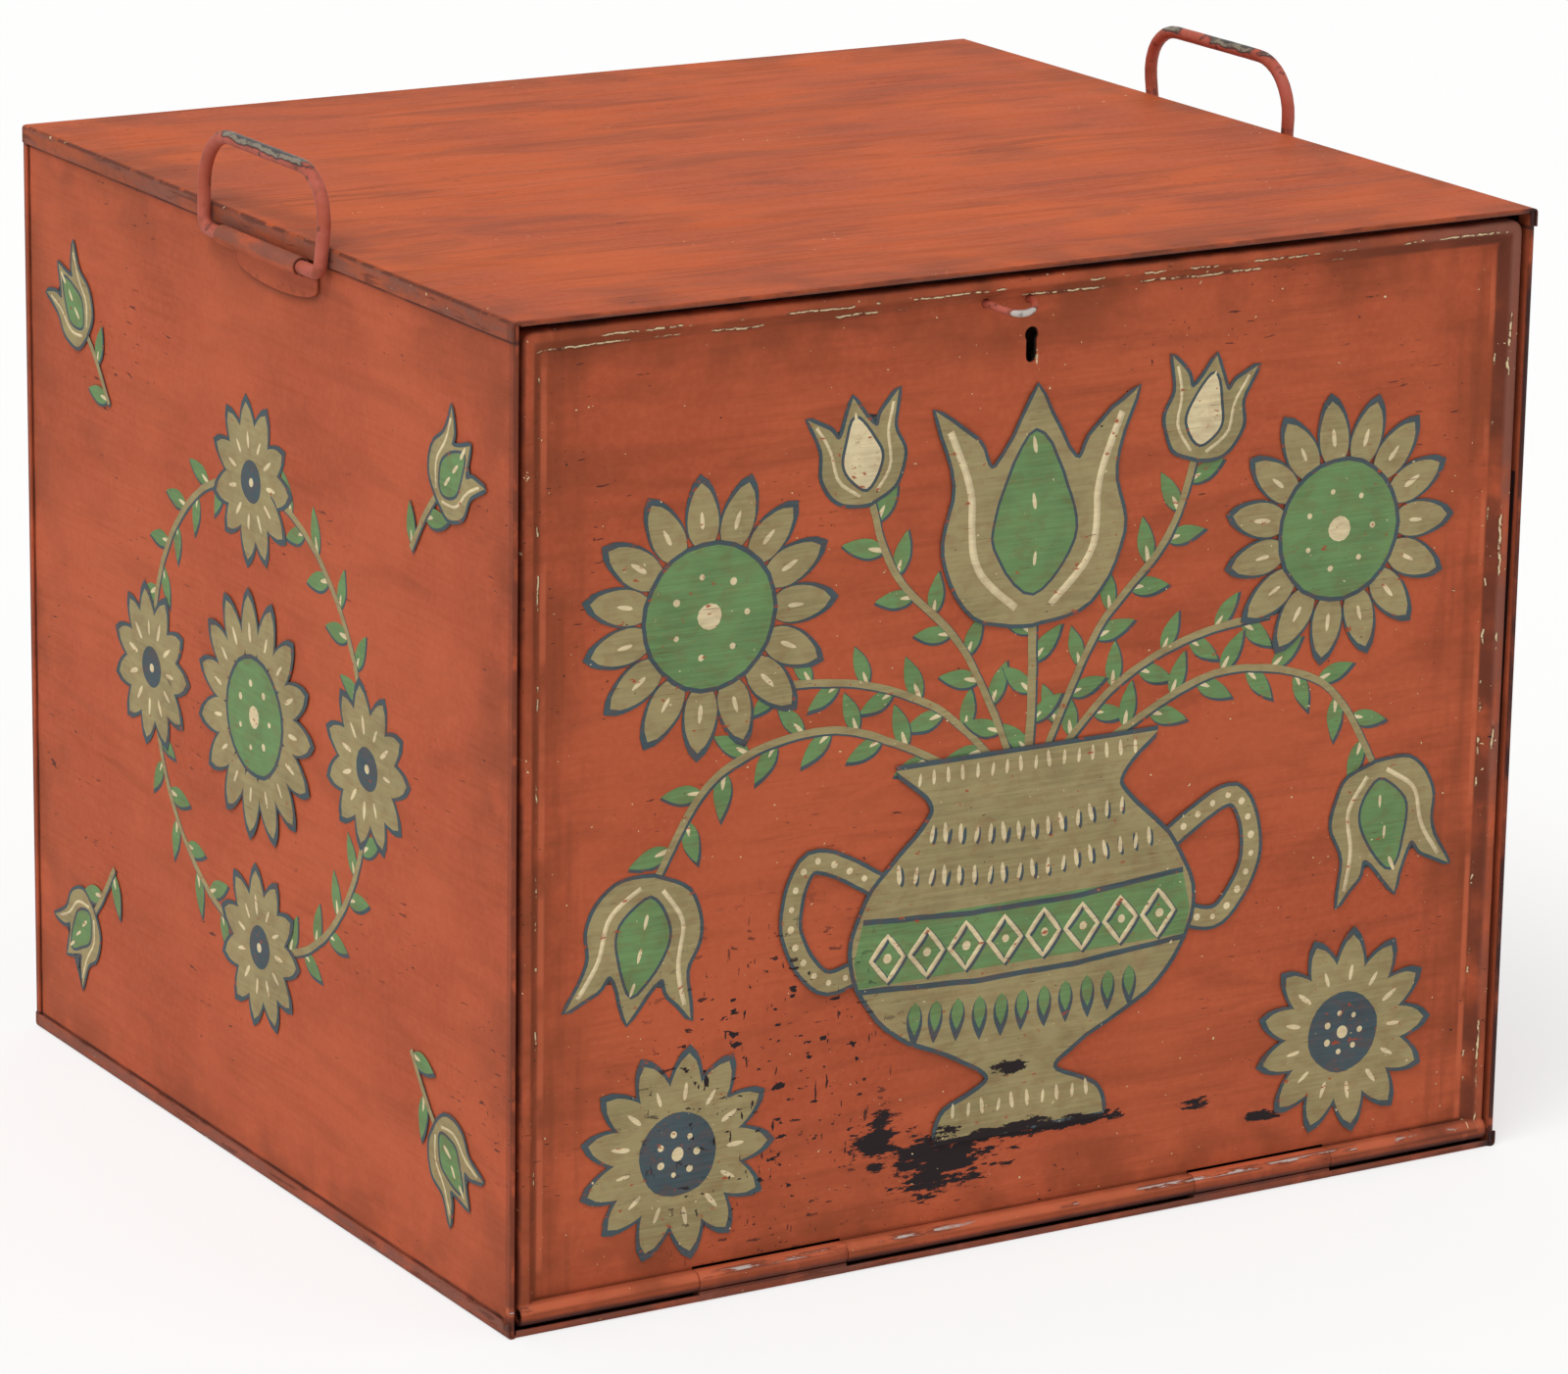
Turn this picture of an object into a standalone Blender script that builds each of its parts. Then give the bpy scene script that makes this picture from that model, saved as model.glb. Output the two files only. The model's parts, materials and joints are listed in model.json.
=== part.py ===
"""Drop-front deed box of painted sheet steel, one object for each piece.

Units are metres, +Z is up and the front faces -Y. The origin is the middle of
the underside, on the surface that the box stands on.
"""

import math

import bmesh
import bpy
from mathutils import Matrix, Vector

# Case of folded sheet
WIDTH = 0.445            # over the two side sheets
DEPTH = 0.410            # front edges to the back sheet
HEIGHT = 0.380
SHEET = 0.0008
GAP = 0.0003             # solder and paint line between sheets that touch
BEND = 0.0016            # outside radius of a folded corner
TIGHT_BEND = 0.0012      # and of a narrow strip or lip
BEND_STEPS = 3
HEM_FULLNESS = 0.96      # rounding of a hem's nose, as a share of half its thickness
TOP_FLANGE = 0.007       # top sheet turned down over the sides
BOTTOM_FLANGE = 0.006    # bottom sheet turned up over the sides
BACK_FLANGE = 0.004      # back sheet turned round the sides
HEM = 0.008              # strip folded back along the front edges
LIP = 0.0028             # bottom sheet turned up under the hinge

# Front flap
FLAP_GAP = 0.0024        # daylight round the shut flap
FLAP_INSET = 0.0014      # rim behind the front edges of the case
FLAP_CORNER = 0.005
FLAP_SIDE_TURN = 0.0146  # sides turned back
FLAP_TOP_TURN = 0.0066   # top turned back
FLAP_TOP_TURN_END = 0.008  # full-depth ear left at each end of the top turn
RIM = 0.0042
RIM_SLOPE = 0.0036
RIM_ROUND = 0.0018
RECESS = 0.004           # panel behind the rim
CORNER_STEPS = 5

# Hinge along the bottom edge
PIN_RADIUS = 0.0025
KNUCKLE_WALL = 0.0014
KNUCKLE_INNER = 0.0786   # centre line to the first knuckle joint
KNUCKLE_OUTER = 0.143    # centre line to the second knuckle joint
KNUCKLE_JOINT = 0.0005
ROLL_OFFSET = 0.0024     # panel's sheet behind the hinge axis, where it enters the roll
ROLL_CLEARANCE = 0.0006  # roll to lip, and flap edge to case knuckle
ROLL_END = 0.0003        # roll short of the flap's side faces
PIN_END = 0.001          # wire short of the roll's ends
ROUND_SIDES = 28

# Stops behind the flap
STOP_GAP = 0.0004
STOP_WALL_LEG = 0.012
STOP_LEG = 0.012
KEEPER_FOOT = 0.014
KEEPER_CLEARANCE = 0.0007  # keeper above the pull loop's legs
KEEPER_END = 0.0044      # keeper short of the side stops

# Bail handles and their clips
HANDLE_ROD = 0.0026      # radius
HANDLE_RISE = 0.0375
HANDLE_FLARE = 0.004     # each upright leans out by this at its top
HANDLE_FOOT_ROUND = 0.005
HANDLE_TOP_ROUND = 0.020
HANDLE_END_PLAY = 0.010  # lower bar past each end of its sleeve
HANDLE_STAGGER = 0.0155  # left handle before the middle, right one behind it
HANDLE_STEPS = 7
CLIP_LENGTH = 0.066
CLIP_BELOW_FLANGE = 0.0025  # pivot below the top's flange
CLIP_STAND = 0.0005      # sleeve off its tail plate's inner face
CLIP_TAIL = 0.014        # tail below the pivot at its middle
CLIP_TAIL_END = 0.0085   # and at its ends
CLIP_TAIL_SHIFT = 0.006  # tail past one end of its sleeve
CLIP_ROOT = 0.001        # tail above the pivot
TAIL_STEPS = 10
WIRE_SIDES = 3           # bevel resolution of the handle rod

# Pull loop
LOOP_WIRE = 0.0014       # radius
LOOP_X = -0.014
LOOP_WIDTH = 0.019       # between the legs
LOOP_REACH = 0.0108      # in front of the panel
LOOP_DROOP = 0.0026
LOOP_BELOW_RIM = 0.0017
LOOP_TAIL = 0.005        # legs bent over behind the panel
LOOP_STRAIGHT = 0.001    # leg in front of the panel before it bows
LOOP_LEG_BEND = 0.002
LOOP_BEND_STEPS = 4
LOOP_BOW_STEPS = 14

# Lock behind the panel
KEYHOLE_X = -0.003
KEYHOLE_SLOT = 0.0048
KEYHOLE_SHOULDER = 0.0006  # round top wider than the slot on each side
KEYHOLE_STEPS = 16
KEYHOLE_LENGTH = 0.0136
KEYHOLE_DROP = 0.0118    # round top below the lock's top
LOCK_PLATE = 0.001
LOCK_HEIGHT = 0.042
LOCK_DEPTH = 0.0105
LOCK_EAR = 0.008
LOCK_EAR_SHORT = 0.002   # ears short of the case's top and bottom
LOCK_BELOW_LOOP = 0.0005
RIVET_SHANK = 0.00125
RIVET_HEAD = 0.0024
RIVET_DOME = 0.0012
RIVET_EDGE = 0.008       # rivets in from the lock's top and bottom
RIVET_STEPS = 12
DOME_STEPS = 5
BOLT_FROM_KEY = 0.0045   # near edge of the bolt from the key's axis
BOLT_WIDTH = 0.012
BOLT_THICK = 0.003
BOLT_FOOT_ROOM = 0.0074  # between the bolt's foot and the floor of the case
BOLT_THROW = 0.008
BOLT_CLEARANCE = 0.0018  # bolt below the keeper when drawn back
BOLT_TALON = 0.0065      # notch that the key's bit turns in
SPRING_THICK = 0.0004
SPRING_WIDTH = 0.004
SPRING_LENGTH = 0.026
SPRING_BOW = 0.0067
SPRING_STEPS = 12
WARD_RADIUS = 0.0066
WARD_WALL = 0.0008
WARD_HEIGHT = 0.0025
WARD_SPAN = math.radians(120)
WARD_STEPS = 8

CUT_MARGIN = 0.004       # how far cutters run past what they cut
AXIS_MARK = 0.02         # drawn size of the empties on the joint axes
SMOOTH_ANGLE = math.radians(35)
NEAR = 0.000001          # points closer than this are one point

# Faces of the case
SIDE_X = WIDTH / 2
WRAP_X = SIDE_X + GAP + SHEET
FRONT = -DEPTH / 2
BACK = DEPTH / 2
WRAP_BACK = BACK + GAP + SHEET
FOLD = 2 * SHEET + GAP
HEM_ROUND = HEM_FULLNESS * FOLD / 2
INNER_X = SIDE_X - FOLD
FOLD_X = INNER_X - 2 * GAP
WALL_LOW = SHEET + GAP
WALL_HIGH = HEIGHT - SHEET - GAP
STRIP_X = SIDE_X - SHEET - GAP

# Faces of the flap
FLAP_X = INNER_X - FLAP_GAP
FLAP_TOP = HEIGHT - FOLD - FLAP_GAP
RIM_Y = FRONT + FLAP_INSET
PANEL_Y = RIM_Y + RECESS
PANEL_BACK = PANEL_Y + SHEET
PANEL_TOP = FLAP_TOP - RIM - RIM_SLOPE

# Hinge axis
BORE = PIN_RADIUS + GAP
ROLL = BORE + KNUCKLE_WALL
HINGE_Y = PANEL_Y + SHEET / 2 - ROLL_OFFSET
HINGE_Z = LIP + ROLL_CLEARANCE + ROLL
ROLL_X = FLAP_X - ROLL_END
HINGE = Vector((0, HINGE_Y, HINGE_Z))

# Pull loop and the stops that clear it
LOOP_Z = PANEL_TOP - LOOP_BELOW_RIM
STOP_Y = FRONT + max(HEM, FLAP_INSET + FLAP_SIDE_TURN) + STOP_GAP
KEEPER_Y = FRONT + max(HEM, FLAP_INSET + FLAP_TOP_TURN) + STOP_GAP
KEEPER_X = STRIP_X - STOP_LEG - KEEPER_END
KEEPER_LOW = LOOP_Z + LOOP_WIRE + KEEPER_CLEARANCE

# Handle pivots, and the lean at which a raised handle rests on the edge of the top
SLEEVE_BORE = HANDLE_ROD + GAP
SLEEVE = SLEEVE_BORE + SHEET
PIVOT_X = SIDE_X + GAP + CLIP_STAND + SLEEVE
PIVOT_Z = HEIGHT - TOP_FLANGE - CLIP_BELOW_FLANGE
EDGE_X = PIVOT_X - WRAP_X
EDGE_Z = HEIGHT - PIVOT_Z
HANDLE_LEAN = math.acos(SLEEVE_BORE / math.hypot(EDGE_X, EDGE_Z)) - math.atan2(EDGE_Z, EDGE_X)
HANDLE_FOOT = CLIP_LENGTH / 2 + HANDLE_END_PLAY + HANDLE_FOOT_ROUND

# Lock
LOCK_TOP = LOOP_Z - LOOP_WIRE - LOCK_BELOW_LOOP
LOCK_LOW = LOCK_TOP - LOCK_HEIGHT
LOCK_Y = PANEL_BACK + GAP
CASE_Y = LOCK_Y + LOCK_PLATE + GAP
CASE_BACK = CASE_Y + LOCK_DEPTH
KEYHOLE_HEAD = KEYHOLE_SLOT / 2 + KEYHOLE_SHOULDER
KEYHOLE_Z = LOCK_TOP - KEYHOLE_DROP
KEY_REACH = KEYHOLE_LENGTH - KEYHOLE_HEAD
BOLT_X = KEYHOLE_X + BOLT_FROM_KEY
BOLT_Y = KEEPER_Y + SHEET + STOP_GAP
BOLT_TOP = KEEPER_LOW - BOLT_CLEARANCE
BOLT_LOW = LOCK_LOW + SHEET + BOLT_FOOT_ROOM
SPRING_X = BOLT_X + BOLT_WIDTH + GAP
LOCK_X = SPRING_X + SPRING_BOW + SPRING_THICK + GAP + SHEET

# Finishes as linear colour, roughness and metallic value
RED_PAINT = ((0.40, 0.085, 0.045), 0.50, 0.0)
PINK_PAINT = ((0.44, 0.12, 0.085), 0.45, 0.0)
STEEL = ((0.42, 0.40, 0.37), 0.42, 1.0)
BRASS = ((0.58, 0.43, 0.18), 0.40, 1.0)

# Turns that take a face or outline drawn flat, looking up, to a side of the box
FACING_SIDE = Matrix(((0, 0, 1, 0), (1, 0, 0, 0), (0, 1, 0, 0), (0, 0, 0, 1)))
FACING_FRONT = Matrix.Rotation(math.pi / 2, 4, "X")
FACING_BACK = Matrix.Rotation(-math.pi / 2, 4, "X")
FACING_LEFT = Matrix.Rotation(-math.pi / 2, 4, "Y")


def clear_scene():
    for obj in list(bpy.data.objects):
        bpy.data.objects.remove(obj, do_unlink=True)


def new_collection(name):
    collection = bpy.data.collections.new(name)
    bpy.context.scene.collection.children.link(collection)
    return collection


clear_scene()
PARTS = new_collection("deed_box")
CUTTERS = new_collection("deed_box_cutters")


def add_part(name, data, finish):
    """Link a piece to the box and give it a finish of its own."""
    obj = bpy.data.objects.new(name, data)
    PARTS.objects.link(obj)
    colour, roughness, metallic = finish
    material = bpy.data.materials.new(name + "_finish")
    material.use_nodes = True
    shader = material.node_tree.nodes["Principled BSDF"]
    shader.inputs["Base Color"].default_value = (*colour, 1)
    shader.inputs["Roughness"].default_value = roughness
    shader.inputs["Metallic"].default_value = metallic
    data.materials.append(material)
    return obj


def add_cutter(name, data):
    obj = bpy.data.objects.new(name, data)
    obj.hide_render = True
    obj.display_type = "WIRE"
    CUTTERS.objects.link(obj)
    return obj


def add_axis(name, place):
    """Empty on a joint's axis, which carries the pieces that move together."""
    axis = bpy.data.objects.new(name, None)
    axis.location = place
    axis.empty_display_size = AXIS_MARK
    PARTS.objects.link(axis)
    return axis


def carry(axis, *objects):
    """Parent objects to an axis and leave them where they are."""
    bpy.context.view_layer.update()
    for obj in objects:
        obj.parent = axis
        obj.matrix_parent_inverse = axis.matrix_world.inverted()


def combine(obj, other, operation):
    boolean = obj.modifiers.new(operation.lower() + "_" + other.name, "BOOLEAN")
    boolean.operation = operation
    boolean.object = other
    boolean.solver = "EXACT"


def thicken(obj):
    """Give an open surface the thickness of the sheet, on its inner side."""
    solidify = obj.modifiers.new("sheet", "SOLIDIFY")
    solidify.thickness = SHEET
    solidify.offset = -1
    solidify.use_even_offset = True


def finish_mesh(bm, name):
    mesh = bpy.data.meshes.new(name)
    bm.to_mesh(mesh)
    bm.free()
    return mesh


def shade_round(mesh):
    mesh.shade_smooth()
    mesh.set_sharp_from_angle(angle=SMOOTH_ANGLE)


def mesh_of(obj, name):
    """Plain mesh of an object with its modifiers or its curve settings applied."""
    bpy.context.view_layer.update()
    graph = bpy.context.evaluated_depsgraph_get()
    mesh = bpy.data.meshes.new_from_object(obj.evaluated_get(graph))
    mesh.name = name
    bm = bmesh.new()
    bm.from_mesh(mesh)
    bmesh.ops.remove_doubles(bm, verts=bm.verts, dist=NEAR)
    bmesh.ops.recalc_face_normals(bm, faces=bm.faces)
    bm.to_mesh(mesh)
    bm.free()
    return mesh


def boxes(name, *corners):
    """One mesh of separate boxes, each from its low and high corners."""
    bm = bmesh.new()
    for low, high in corners:
        size = Vector(high) - Vector(low)
        middle = (Vector(high) + Vector(low)) / 2
        place = Matrix.Translation(middle) @ Matrix.Diagonal((*size, 1))
        bmesh.ops.create_cube(bm, size=1, matrix=place)
    return finish_mesh(bm, name)


def rods(name, radius, *ends):
    """One mesh of separate round rods, each from its two end points."""
    bm = bmesh.new()
    for start, end in ends:
        along = Vector(end) - Vector(start)
        middle = (Vector(start) + Vector(end)) / 2
        place = Matrix.Translation(middle) @ along.to_track_quat("Z", "Y").to_matrix().to_4x4()
        bmesh.ops.create_cone(bm, cap_ends=True, segments=ROUND_SIDES, radius1=radius,
                              radius2=radius, depth=along.length, matrix=place)
    mesh = finish_mesh(bm, name)
    shade_round(mesh)
    return mesh


def flat_outline(name, points, thickness, place):
    """Mesh of a flat outline with a thickness centred on its plane."""
    curve = bpy.data.curves.new(name, "CURVE")
    curve.dimensions = "2D"
    curve.fill_mode = "BOTH"
    curve.extrude = thickness / 2
    spline = curve.splines.new("POLY")
    spline.points.add(len(points) - 1)
    for point, (x, y) in zip(spline.points, points):
        point.co = (x, y, 0, 1)
    spline.use_cyclic_u = True
    guide = add_cutter(name, curve)
    mesh = mesh_of(guide, name)
    bpy.data.objects.remove(guide)
    mesh.transform(place)
    return mesh


def arc(centre, radius, start, sweep, steps):
    """Points along a circular arc, both ends included."""
    angles = [start + sweep * step / steps for step in range(steps + 1)]
    return [(centre[0] + radius * math.cos(a), centre[1] + radius * math.sin(a)) for a in angles]


def round_corner(before, corner, after, radius, steps):
    """Points of the arc that rounds one corner of a path in space."""
    back = (before - corner).normalized()
    on = (after - corner).normalized()
    half = back.angle(on) / 2
    first = corner + back * radius / math.tan(half)
    centre = corner + (back + on).normalized() * radius / math.sin(half)
    swing = math.pi - 2 * half
    inward = (first - centre).normalized()
    along = -back
    turns = [swing * step / steps for step in range(steps + 1)]
    return [centre + radius * (inward * math.cos(t) + along * math.sin(t)) for t in turns]


def rounded_path(corners, steps, closed=False):
    """Path through (point, radius) corners, where radius 0 keeps the point."""
    path = []
    for index, (corner, radius) in enumerate(corners):
        if radius == 0:
            path.append(corner)
            continue
        before = corners[index - 1][0]
        after = corners[(index + 1) % len(corners)][0]
        path.extend(round_corner(before, corner, after, radius, steps))
    if closed:
        return path
    return [corners[0][0]] + path[1:-1] + [corners[-1][0]]


def wire(name, path, radius, finish, closed=False):
    """Round wire along a path."""
    curve = bpy.data.curves.new(name, "CURVE")
    curve.dimensions = "3D"
    curve.bevel_depth = radius
    curve.bevel_resolution = WIRE_SIDES
    curve.use_fill_caps = True
    spline = curve.splines.new("POLY")
    spline.points.add(len(path) - 1)
    for point, place in zip(spline.points, path):
        point.co = (*place, 1)
    spline.use_cyclic_u = closed
    return add_part(name, curve, finish)


def rectangle(bm, width, height, place):
    """Flat face in its own XY plane, put in place with its outer side up."""
    size = Matrix.Diagonal((width, height, 1, 1))
    bmesh.ops.create_grid(bm, x_segments=1, y_segments=1, size=0.5, matrix=place @ size)


def edges_at(bm, axis, value):
    """Edges that lie in the plane where one coordinate has a value."""
    return [e for e in bm.edges if all(abs(v.co[axis] - value) < NEAR for v in e.verts)]


def fold(bm, edges, offset):
    """Turn a strip from open edges and return the strip's outer edges."""
    made = bmesh.ops.extrude_edge_only(bm, edges=edges)["geom"]
    points = [item for item in made if isinstance(item, bmesh.types.BMVert)]
    bmesh.ops.translate(bm, verts=points, vec=offset)
    return [item for item in made if isinstance(item, bmesh.types.BMEdge)
            and all(v in points for v in item.verts)]


def round_bends(bm, edges, radius):
    bmesh.ops.bevel(bm, geom=edges, offset=radius, offset_type="OFFSET", segments=BEND_STEPS,
                    profile=0.5, affect="EDGES", clamp_overlap=True)


def split_at(bm, x):
    geometry = list(bm.verts) + list(bm.edges) + list(bm.faces)
    bmesh.ops.bisect_plane(bm, geom=geometry, plane_co=(x, 0, 0), plane_no=(1, 0, 0))


def corner_bends(bm, height):
    """Upright edges where two turned flanges meet at the back."""
    return [e for e in edges_at(bm, 1, WRAP_BACK)
            if abs(e.verts[0].co.x - e.verts[1].co.x) < NEAR
            and abs(abs(e.verts[0].co.x) - WRAP_X) < NEAR
            and any(abs(v.co.z - height) < NEAR for v in e.verts)]


def flanged_tray(bm, height, turn):
    """Sheet with its side and back edges turned over the case, front edge left open."""
    place = Matrix.Translation((0, (FRONT + WRAP_BACK) / 2, height))
    if turn > 0:
        place = place @ Matrix.Rotation(math.pi, 4, "X")
    rectangle(bm, 2 * WRAP_X, WRAP_BACK - FRONT, place)
    split_at(bm, -FOLD_X)
    split_at(bm, FOLD_X)
    bends = edges_at(bm, 0, -WRAP_X) + edges_at(bm, 0, WRAP_X) + edges_at(bm, 1, WRAP_BACK)
    front = [e for e in edges_at(bm, 1, FRONT) if all(abs(v.co.x) < FOLD_X + NEAR for v in e.verts)]
    fold(bm, bends, (0, 0, turn))
    return bends + corner_bends(bm, height), front


def top_panel():
    bm = bmesh.new()
    bends, front = flanged_tray(bm, HEIGHT, -TOP_FLANGE)
    nose = fold(bm, front, (0, 0, -FOLD))
    fold(bm, nose, (0, HEM, 0))
    round_bends(bm, bends, BEND)
    round_bends(bm, front + nose, HEM_ROUND)
    panel = add_part("top_panel", finish_mesh(bm, "top_panel"), RED_PAINT)
    thicken(panel)


def case_knuckles():
    """Spans of the two hinge knuckles that belong to the case."""
    inner = KNUCKLE_INNER + KNUCKLE_JOINT / 2
    outer = KNUCKLE_OUTER - KNUCKLE_JOINT / 2
    return (-outer, -inner), (inner, outer)


def flap_knuckles():
    """Spans of the three hinge knuckles that belong to the flap."""
    inner = KNUCKLE_INNER - KNUCKLE_JOINT / 2
    outer = KNUCKLE_OUTER + KNUCKLE_JOINT / 2
    return (-ROLL_X, -outer), (-inner, inner), (outer, ROLL_X)


def rolls(name, spans):
    ends = [((low, HINGE_Y, HINGE_Z), (high, HINGE_Y, HINGE_Z)) for low, high in spans]
    return add_cutter(name, rods(name, ROLL, *ends))


def hinge_bore(name):
    reach = SIDE_X + CUT_MARGIN
    ends = ((-reach, HINGE_Y, HINGE_Z), (reach, HINGE_Y, HINGE_Z))
    return add_cutter(name, rods(name, BORE, ends))


def bottom_panel():
    bm = bmesh.new()
    bends, front = flanged_tray(bm, 0, BOTTOM_FLANGE)
    fold(bm, front, (0, 0, LIP))
    round_bends(bm, bends, BEND)
    round_bends(bm, front, TIGHT_BEND)
    panel = add_part("bottom_panel", finish_mesh(bm, "bottom_panel"), RED_PAINT)
    thicken(panel)
    web_top = HINGE_Z - (BORE + ROLL) / 2
    webs = [((low, FRONT, SHEET / 2), (high, HINGE_Y + BORE / 2, web_top))
            for low, high in case_knuckles()]
    combine(panel, add_cutter("case_knuckle_webs", boxes("case_knuckle_webs", *webs)), "UNION")
    combine(panel, rolls("case_rolls", case_knuckles()), "UNION")
    combine(panel, hinge_bore("case_hinge_bore"), "DIFFERENCE")


def side_panel(name, side):
    bm = bmesh.new()
    height = WALL_HIGH - WALL_LOW
    rear = BACK - SHEET - GAP
    centre = (-SIDE_X, (FRONT + rear) / 2, (WALL_LOW + WALL_HIGH) / 2)
    rectangle(bm, height, rear - FRONT, Matrix.Translation(centre) @ FACING_LEFT)
    front = edges_at(bm, 1, FRONT)
    nose = fold(bm, front, (FOLD, 0, 0))
    fold(bm, nose, (0, HEM, 0))
    round_bends(bm, front + nose, HEM_ROUND)
    if side > 0:
        bmesh.ops.scale(bm, verts=bm.verts, vec=(-1, 1, 1))
        bmesh.ops.reverse_faces(bm, faces=bm.faces)
    thicken(add_part(name, finish_mesh(bm, name), RED_PAINT))


def back_panel():
    bm = bmesh.new()
    centre = (0, BACK, (WALL_LOW + WALL_HIGH) / 2)
    rectangle(bm, 2 * WRAP_X, WALL_HIGH - WALL_LOW, Matrix.Translation(centre) @ FACING_BACK)
    bends = edges_at(bm, 0, -WRAP_X) + edges_at(bm, 0, WRAP_X)
    fold(bm, bends, (0, -BACK_FLANGE, 0))
    round_bends(bm, bends, BEND)
    panel = add_part("back_panel", finish_mesh(bm, "back_panel"), RED_PAINT)
    thicken(panel)
    front = BACK - BACK_FLANGE - CUT_MARGIN
    rear = BACK + CUT_MARGIN
    spans = ((-CUT_MARGIN, BOTTOM_FLANGE + GAP), (HEIGHT - TOP_FLANGE - GAP, HEIGHT + CUT_MARGIN))
    notches = []
    for low, high in spans:
        notches.append(((-WRAP_X - CUT_MARGIN, front, low), (-SIDE_X, rear, high)))
        notches.append(((SIDE_X, front, low), (WRAP_X + CUT_MARGIN, rear, high)))
    combine(panel, add_cutter("back_notches", boxes("back_notches", *notches)), "DIFFERENCE")


def flap_stop(name, side):
    """Angle strip on a side wall that the flap's side turn shuts against."""
    bm = bmesh.new()
    height = WALL_HIGH - WALL_LOW - 2 * GAP
    centre = (-STRIP_X, STOP_Y + STOP_WALL_LEG / 2, (WALL_LOW + WALL_HIGH) / 2)
    rectangle(bm, height, STOP_WALL_LEG, Matrix.Translation(centre) @ FACING_LEFT)
    bends = edges_at(bm, 1, STOP_Y)
    fold(bm, bends, (STOP_LEG, 0, 0))
    round_bends(bm, bends, TIGHT_BEND)
    if side > 0:
        bmesh.ops.scale(bm, verts=bm.verts, vec=(-1, 1, 1))
        bmesh.ops.reverse_faces(bm, faces=bm.faces)
    thicken(add_part(name, finish_mesh(bm, name), RED_PAINT))


def keeper():
    """Angle strip under the top that stops the flap and catches the bolt."""
    bm = bmesh.new()
    centre = (0, KEEPER_Y + KEEPER_FOOT / 2, WALL_HIGH)
    rectangle(bm, 2 * KEEPER_X, KEEPER_FOOT, Matrix.Translation(centre))
    bends = edges_at(bm, 1, KEEPER_Y)
    fold(bm, bends, (0, 0, KEEPER_LOW - WALL_HIGH))
    round_bends(bm, bends, TIGHT_BEND)
    thicken(add_part("top_keeper", finish_mesh(bm, "top_keeper"), RED_PAINT))


def hinge_pin():
    reach = ROLL_X - PIN_END
    ends = ((-reach, HINGE_Y, HINGE_Z), (reach, HINGE_Y, HINGE_Z))
    add_part("hinge_pin", rods("hinge_pin", PIN_RADIUS, ends), STEEL)


def rounded_rectangle(half_width, low, high, radius):
    """Upright outline in x and z, anticlockwise seen from the front."""
    x = half_width - radius
    centres = ((x, low + radius), (x, high - radius), (-x, high - radius), (-x, low + radius))
    points = []
    for quarter, centre in enumerate(centres):
        start = (quarter - 1) * math.pi / 2
        points.extend(arc(centre, radius, start, math.pi / 2, CORNER_STEPS))
    return points


def flap_profile():
    """Inset and depth of the pressed sheet, from its turned edge in to the flat panel."""
    foot = RIM + RIM_SLOPE
    corners = (
        (Vector((0, RIM_Y + FLAP_SIDE_TURN, 0)), 0),
        (Vector((0, RIM_Y, 0)), BEND),
        (Vector((RIM, RIM_Y, 0)), RIM_ROUND),
        (Vector((foot, PANEL_Y, 0)), RIM_ROUND),
        (Vector((2 * foot, PANEL_Y, 0)), 0),
    )
    return rounded_path(corners, BEND_STEPS)


def pressed_flap():
    """Open surface of the flap as rings of rounded rectangles, with the panel as its cap."""
    bm = bmesh.new()
    low = HINGE_Z - 2 * (RIM + RIM_SLOPE)
    rings = []
    for inset, y, _ in flap_profile():
        outline = rounded_rectangle(FLAP_X - inset, low + inset, FLAP_TOP - inset, FLAP_CORNER)
        rings.append([bm.verts.new((x, y, z)) for x, z in outline])
    for outer, inner in zip(rings, rings[1:]):
        for index in range(len(outer)):
            after = (index + 1) % len(outer)
            bm.faces.new((outer[index], outer[after], inner[after], inner[index]))
    bm.faces.new(rings[-1])
    return finish_mesh(bm, "front_flap")


def keyhole_outline():
    half = KEYHOLE_SLOT / 2
    join = math.asin(half / KEYHOLE_HEAD)
    head = arc((0, 0), KEYHOLE_HEAD, join - math.pi / 2, 2 * math.pi - 2 * join, KEYHOLE_STEPS)
    foot = arc((0, half - KEY_REACH), half, math.pi, math.pi, KEYHOLE_STEPS // 2)
    return head + foot


def keyhole_cutter():
    middle = (PANEL_Y + CASE_Y) / 2
    thickness = CASE_Y - PANEL_Y + CUT_MARGIN
    place = Matrix.Translation((KEYHOLE_X, middle, KEYHOLE_Z)) @ FACING_FRONT
    return add_cutter("keyhole", flat_outline("keyhole", keyhole_outline(), thickness, place))


def loop_legs():
    return LOOP_X - LOOP_WIDTH / 2, LOOP_X + LOOP_WIDTH / 2


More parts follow.
